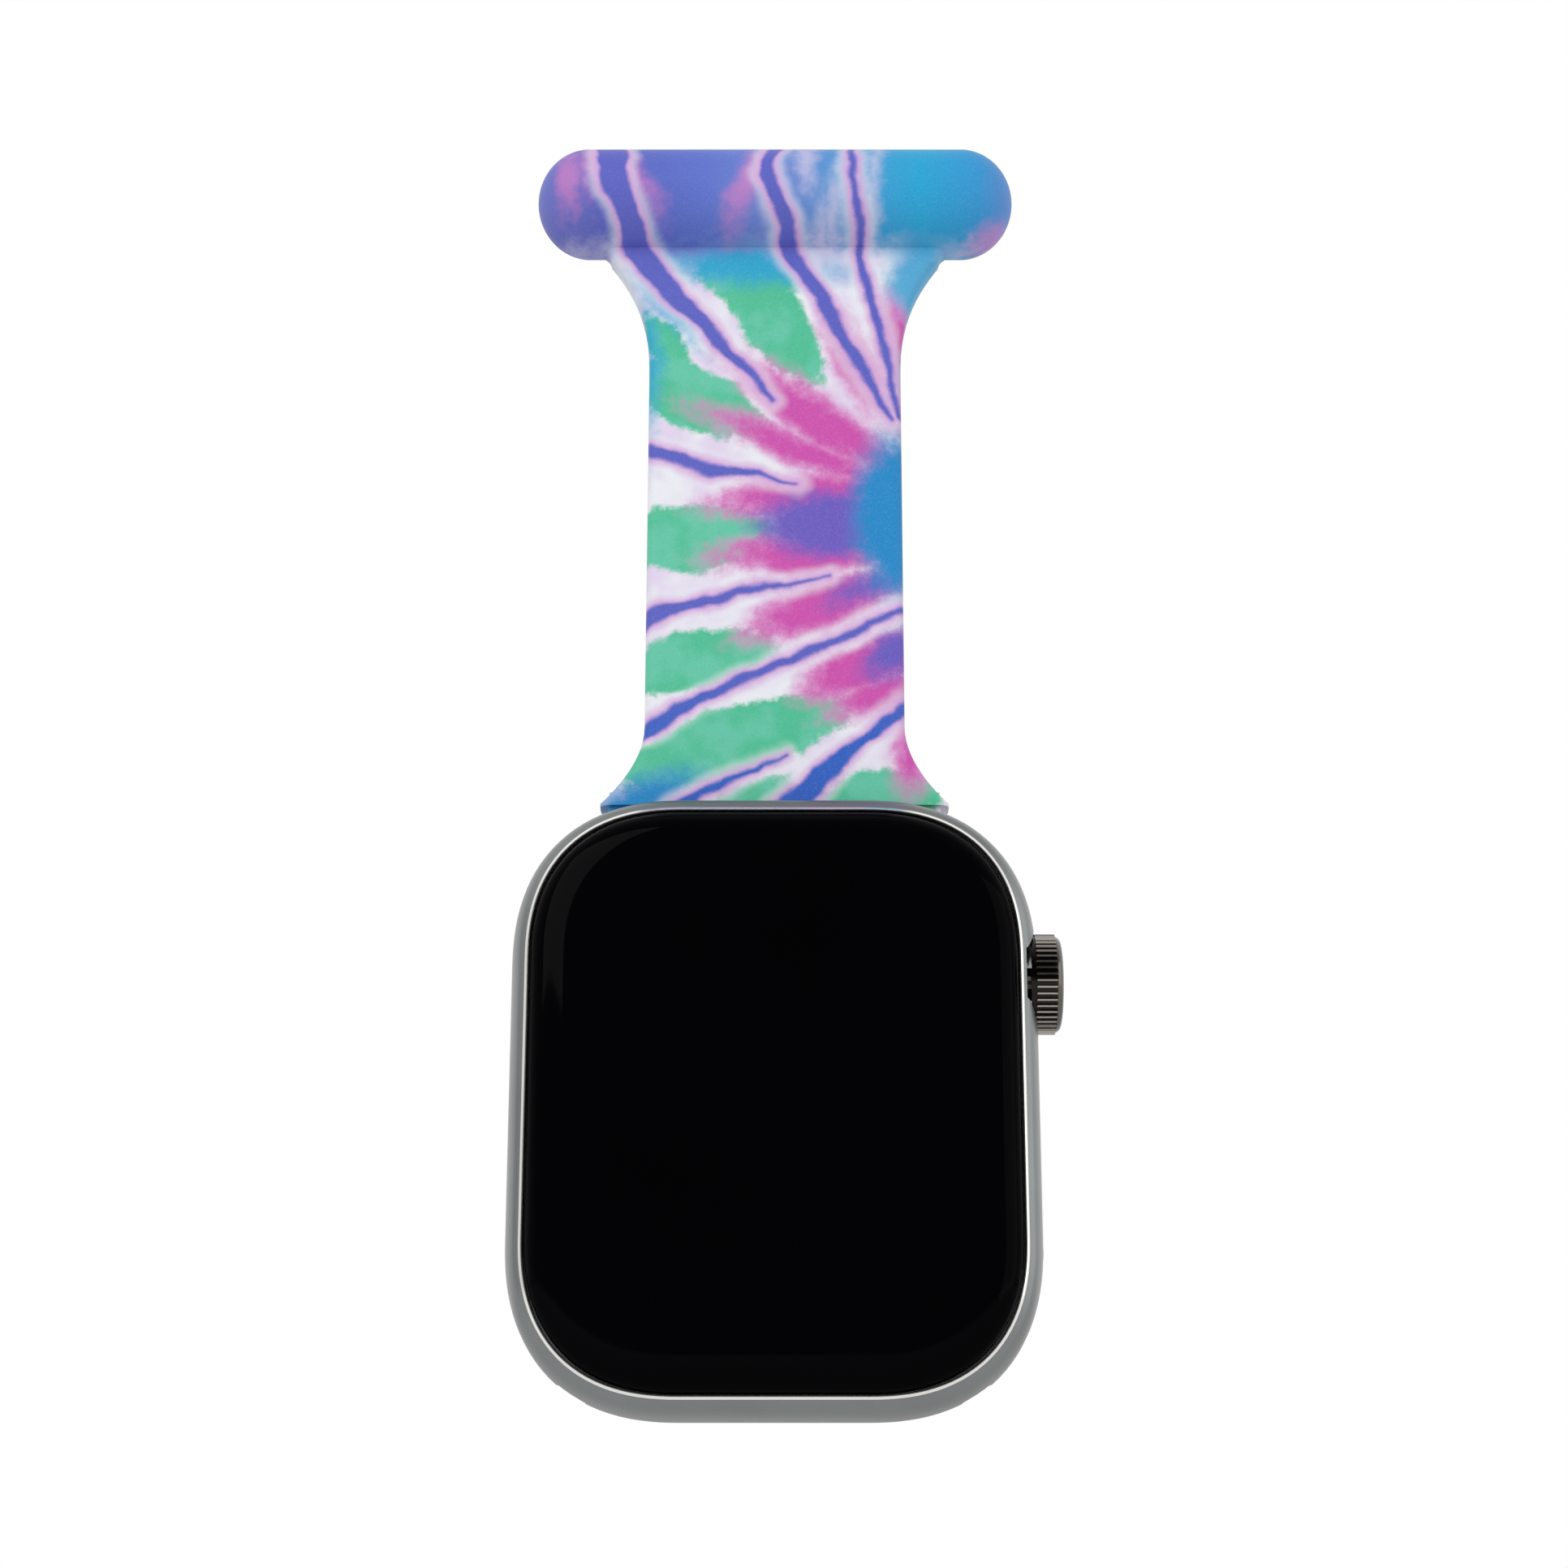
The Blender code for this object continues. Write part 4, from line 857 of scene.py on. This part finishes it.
domeLow = coverHigh.y
flangeDepth = (crystalLow.y + coverLow.y) / 2
crystalDome = addRod(
    "crystalDome",
    (0, (crystalLow.y + domeLow) / 2, caseMiddle.z),
    backCrystal["radius"] * mm,
    domeLow - crystalLow.y,
    "Y",
    128,
)
stepFace(crystalDome, (0, 1, 0), differences(backCrystal["dome"]))
flange = addRod(
    "flange", (0, crystalLow.y + 0.2 * mm, caseMiddle.z), 12.4 * mm, 0.4 * mm, "Y", 128
)
carve(crystalDome, [flange], "UNION")
smooth(crystalDome, 40)
wear(crystalDome, sensorCrystal)
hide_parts("back_crystal")
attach(crystalDome, "case")
print("back made")

# ---- silicone fob

siliconeFob = {
    "width": 19.4,
    "thickness": 2.8,
    "edgeRadius": 0.75,
    "middleY": -5.0,
    "shoulder": (25.8, 6.0, 0.25),  # width, flare height, straight foot
    "shoulderPower": 1.9,
    "neck": (25.6, 10.2, 5.0),  # width, flare height, drop of its top below the pin
    "neckPower": 2.6,
    "collar": (1.6, 1.4),  # how far it spreads against the bar, and from how far below
    "flareRows": 14,
    "barSquash": 0.95,
    "webThickness": 1.96,
}
topZ = caseHigh.z / mm + 0.12
barRadius = fobHigh.z / mm
barMiddleY = siliconeFob["middleY"] - 0.4
barStraight = fobHigh.x / mm - barRadius * siliconeFob["barSquash"]


def strapHalfWidth(up):
    # half the strap's width at a height, in mm
    half = siliconeFob["width"] / 2
    footWidth, footHeight, foot = siliconeFob["shoulder"]
    neckWidth, neckHeight, drop = siliconeFob["neck"]
    low = min(1, max(0, 1 - (up - topZ - foot) / footHeight))
    high = min(1, max(0, 1 - (-drop - up) / neckHeight))
    bulge = (footWidth / 2 - half) * low ** siliconeFob["shoulderPower"]
    bulge += (neckWidth / 2 - half) * high ** siliconeFob["neckPower"]
    collarReach, collarHeight = siliconeFob["collar"]
    collar = min(1, max(0, (up + drop) / collarHeight))
    return half + bulge + collarReach * collar**2


strapNear = siliconeFob["middleY"] - siliconeFob["thickness"] / 2
strapFar = siliconeFob["middleY"] + siliconeFob["thickness"] / 2
strapHalf = siliconeFob["width"] / 2
fobSkin = addBlock(
    "fobSkin", (-strapHalf * mm, strapNear * mm, topZ * mm), (strapHalf * mm, strapFar * mm, -1.5 * mm)
)
roundUprights(fobSkin, 2, siliconeFob["edgeRadius"] * mm, 6)
rows = []
for i in range(siliconeFob["flareRows"] + 1):
    share = (i / siliconeFob["flareRows"]) ** 1.3
    rows.append(topZ + siliconeFob["shoulder"][2] + siliconeFob["shoulder"][1] * share)
    rows.append(-siliconeFob["neck"][2] - siliconeFob["neck"][1] * share)
rows += [-siliconeFob["neck"][2] + siliconeFob["collar"][1] * i / 6 for i in range(1, 7)]
for up in sorted(rows):
    pick(fobSkin, "FACE", lambda face: True)
    bpy.ops.mesh.bisect(plane_co=(0, 0, up * mm), plane_no=(0, 0, 1))
    bpy.ops.object.mode_set(mode="OBJECT")
levels = sorted({round(v.co.z, 6) for v in fobSkin.data.vertices})
for level in levels:
    pick(fobSkin, "VERT", lambda v: abs(v.co.z - level) < 2e-6)
    wide = strapHalfWidth(level / mm) / strapHalf
    bpy.ops.transform.resize(value=(wide, 1, 1), center_override=(0, 0, 0))
    bpy.ops.object.mode_set(mode="OBJECT")

deselectAll()
bpy.ops.mesh.primitive_uv_sphere_add(
    segments=72, ring_count=48, radius=barRadius * mm, location=(0, barMiddleY * mm, 0),
    rotation=(0, math.pi / 2, 0),
)
fobBar = settle(named("fobBar"))
for side in (1, -1):
    pick(fobBar, "VERT", lambda v: v.co.x * side > 1e-5)
    squash = siliconeFob["barSquash"]
    bpy.ops.transform.resize(value=(squash, 1, 1), center_override=(0, 0, 0))
    bpy.ops.transform.translate(value=(side * barStraight * mm, 0, 0))
    bpy.ops.object.mode_set(mode="OBJECT")

web = addBlock(
    "web",
    at(-10, watchCase["channelDepth"] - siliconeFob["webThickness"] / 2, halfTall - 1.18),
    at(10, watchCase["channelDepth"] + siliconeFob["webThickness"] / 2, halfTall + 1.2),
)
for level, half in ((halfTall - 1.18, 12.35), (halfTall + 1.2, 12.2)):
    goal = caseMiddle.z + level * mm
    pick(web, "VERT", lambda v: abs(v.co.z - goal) < 1e-5)
    bpy.ops.transform.resize(value=(half / 10, 1, 1), center_override=(0, 0, 0))
    bpy.ops.object.mode_set(mode="OBJECT")
carve(fobSkin, [fobBar, web], "UNION")

pocket = addBlock("pocket", (-15.2 * mm, -5.7 * mm, -2.9 * mm), (15.2 * mm, 1 * mm, 2.9 * mm))
roundUprights(pocket, 1, 1.2 * mm, 8)
tongueSlot = addBlock("tongueSlot", at(-9.06, 5.59, halfTall - 3), at(9.06, 6.61, halfTall + 5.06))
carve(fobSkin, [pocket, tongueSlot])
smooth(fobSkin, 38)
wear(fobSkin, siliconePrint)
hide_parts("fob_strap")
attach(fobSkin, "fob")
print("silicone fob made")

# ---- small metal parts, cleaned and softened copies of their solids


def softCopy(node, name, body, finish, width):
    deselectAll()
    source = frame["nodes"][node]
    piece = bpy.data.objects.new(name, source.data.copy())
    piece.data.name = name
    bpy.context.scene.collection.objects.link(piece)
    activate(piece)
    bpy.ops.object.mode_set(mode="EDIT")
    bpy.ops.mesh.select_all(action="SELECT")
    bpy.ops.mesh.remove_doubles(threshold=2e-6)
    bpy.ops.mesh.dissolve_limited(angle_limit=math.radians(1.5))
    bpy.ops.object.mode_set(mode="OBJECT")
    soften(piece, width, 2, 40)
    bpy.ops.object.shade_smooth_by_angle(angle=math.radians(32))
    wear(piece, finish)
    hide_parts(node)
    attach(piece, body)
    return piece


softCopy("brooch_base", "broochPlate", "fob", broochSteel, 0.05)
softCopy("brooch_pin", "broochNeedle", "pin", broochSteel, 0.03)
softCopy("pin_rivet", "needleRivet", "fob", broochSteel, 0.06)
softCopy("catch_lock", "catchRoller", "lock", broochSteel, 0.04)
softCopy("lug_core", "lugBar", "fob", broochSteel, 0.06)
softCopy("upper_release_button", "upperRelease", "upper_release", satinAluminium, 0.05)
softCopy("lower_release_button", "lowerRelease", "lower_release", satinAluminium, 0.05)
print("brooch, lug and release buttons made")

# ---- finishes of the pieces inside

insideFinishes = {
    "polished_steel": darkSteel,
    "spring_steel": springSteel,
    "seal_rubber": sealRubber,
    "circuit_board": circuitBoard,
    "component_black": componentBlack,
    "copper_winding": copperWinding,
    "battery_foil": batteryFoil,
    "black_glass": blackGlass,
    "back_ceramic": backCeramic,
    "satin_aluminium": satinAluminium,
    "printed_silicone": siliconePrint,
}
slotOfNode = {entry["node"]: entry["material_slot"] for entry in frame["record"]["subparts"]}
for nodeName, node in frame["nodes"].items():
    finish = grilleMesh if nodeName in ("speaker_grille", "microphone") else insideFinishes[slotOfNode[nodeName]]
    for materialSlot in node.material_slots:
        materialSlot.material = finish
print("inside pieces finished")

# ---- floor, world and lamps

studio = {
    "floorZ": -0.13,
    "floorSize": 6.0,
    "floorShade": 0.86,
    "worldLight": 0.66,
    "worldFront": 0.05,  # how bright the room in front of the screen looks in metal and glass
    "key": {"place": (-0.35, -0.55, 0.35), "size": 0.5, "power": 2.2},
    "fill": {"place": (0.55, -0.35, 0.1), "size": 0.5, "power": 0.9},
    "under": {"place": (0.0, -0.35, -0.4), "size": 0.4, "power": 1.1},
}
deselectAll()
bpy.ops.mesh.primitive_plane_add(size=studio["floorSize"], location=(0, 0, studio["floorZ"]))
floor = settle(named("floor"))
floorFinish = Finish("paleFloor", Roughness=0.9, Specular_IOR_Level=0.1)
shade = studio["floorShade"]
x, y, z = floorFinish.axes()
farAway = (x * x + y * y).root().fade(120, 420)
speckle = floorFinish.noise(800)
floorFinish.give(
    "Base_Color", floorFinish.mix(speckle, (shade, shade, shade, 1), (shade * 0.99, shade * 0.99, shade * 0.99, 1))
)
glow = floorFinish.node("Emission", {}, {"Color": (1, 1, 1, 1), "Strength": 1.0})
ray = floorFinish.node("LightPath", {}, {}, out="Is Camera Ray")
plainFloor = Wire(floorFinish, floorFinish.shader.outputs[0])
faded = floorFinish.node("MixShader", {}, {0: farAway * ray, 1: plainFloor, 2: glow})
floorFinish.plug(floorFinish.tree.nodes["Material Output"].inputs[0], faded)
wear(floor, floorFinish.material)

world = bpy.data.worlds.new("studioWorld")
bpy.context.scene.world = world
world.use_nodes = True


class Sky(Finish):
    def __init__(self, tree):
        self.tree = tree
        self.shader = tree.nodes["Background"]


sky = Sky(world.node_tree)
toward = sky.parts(sky.node("TexCoord", out="Generated"))[1]
ahead = toward.fade(-0.85, 0.25) * (1.0 - studio["worldFront"]) + studio["worldFront"]
cameraRay = sky.node("LightPath", out="Is Camera Ray")
glossyRay = sky.node("LightPath", out="Is Glossy Ray")
seen = cameraRay.most(sky.node("LightPath", out="Is Transmission Ray"))
plain = 1.0 - seen.most(glossyRay)
sky.give("Strength", seen + glossyRay * ahead + plain * studio["worldLight"])
sky.give("Color", (1, 1, 1, 1))

objectMiddle = Vector((0, caseMiddle.y, (fobHigh.z + caseLow.z) / 2))
for lampName in ("key", "fill", "under"):
    lamp = studio[lampName]
    deselectAll()
    bpy.ops.object.light_add(type="AREA", location=lamp["place"])
    light = bpy.context.object
    light.name = lampName + "Lamp"
    light.data.energy = lamp["power"]
    light.data.size = lamp["size"]
    light.rotation_euler = (objectMiddle - Vector(lamp["place"])).to_track_quat("-Z", "Y").to_euler()
print("studio made")

# ---- camera

shot = {
    "below": 18.0,  # degrees under the horizon
    "distance": 0.242,
    "lens": 76.68,
    "aim": (0.0007, -0.0111, -0.04975),
}
tilt = math.radians(shot["below"])
aim = Vector(shot["aim"])
bpy.ops.object.camera_add(
    location=aim + shot["distance"] * Vector((0, -math.cos(tilt), -math.sin(tilt))),
    rotation=Euler((math.pi / 2 + tilt, 0, 0)),
)
camera = bpy.context.object
camera.data.lens = shot["lens"]
camera.data.sensor_width = 36
camera.data.clip_start = 0.01
bpy.context.scene.camera = camera
bpy.context.scene.view_settings.view_transform = "Standard"

deselectAll()
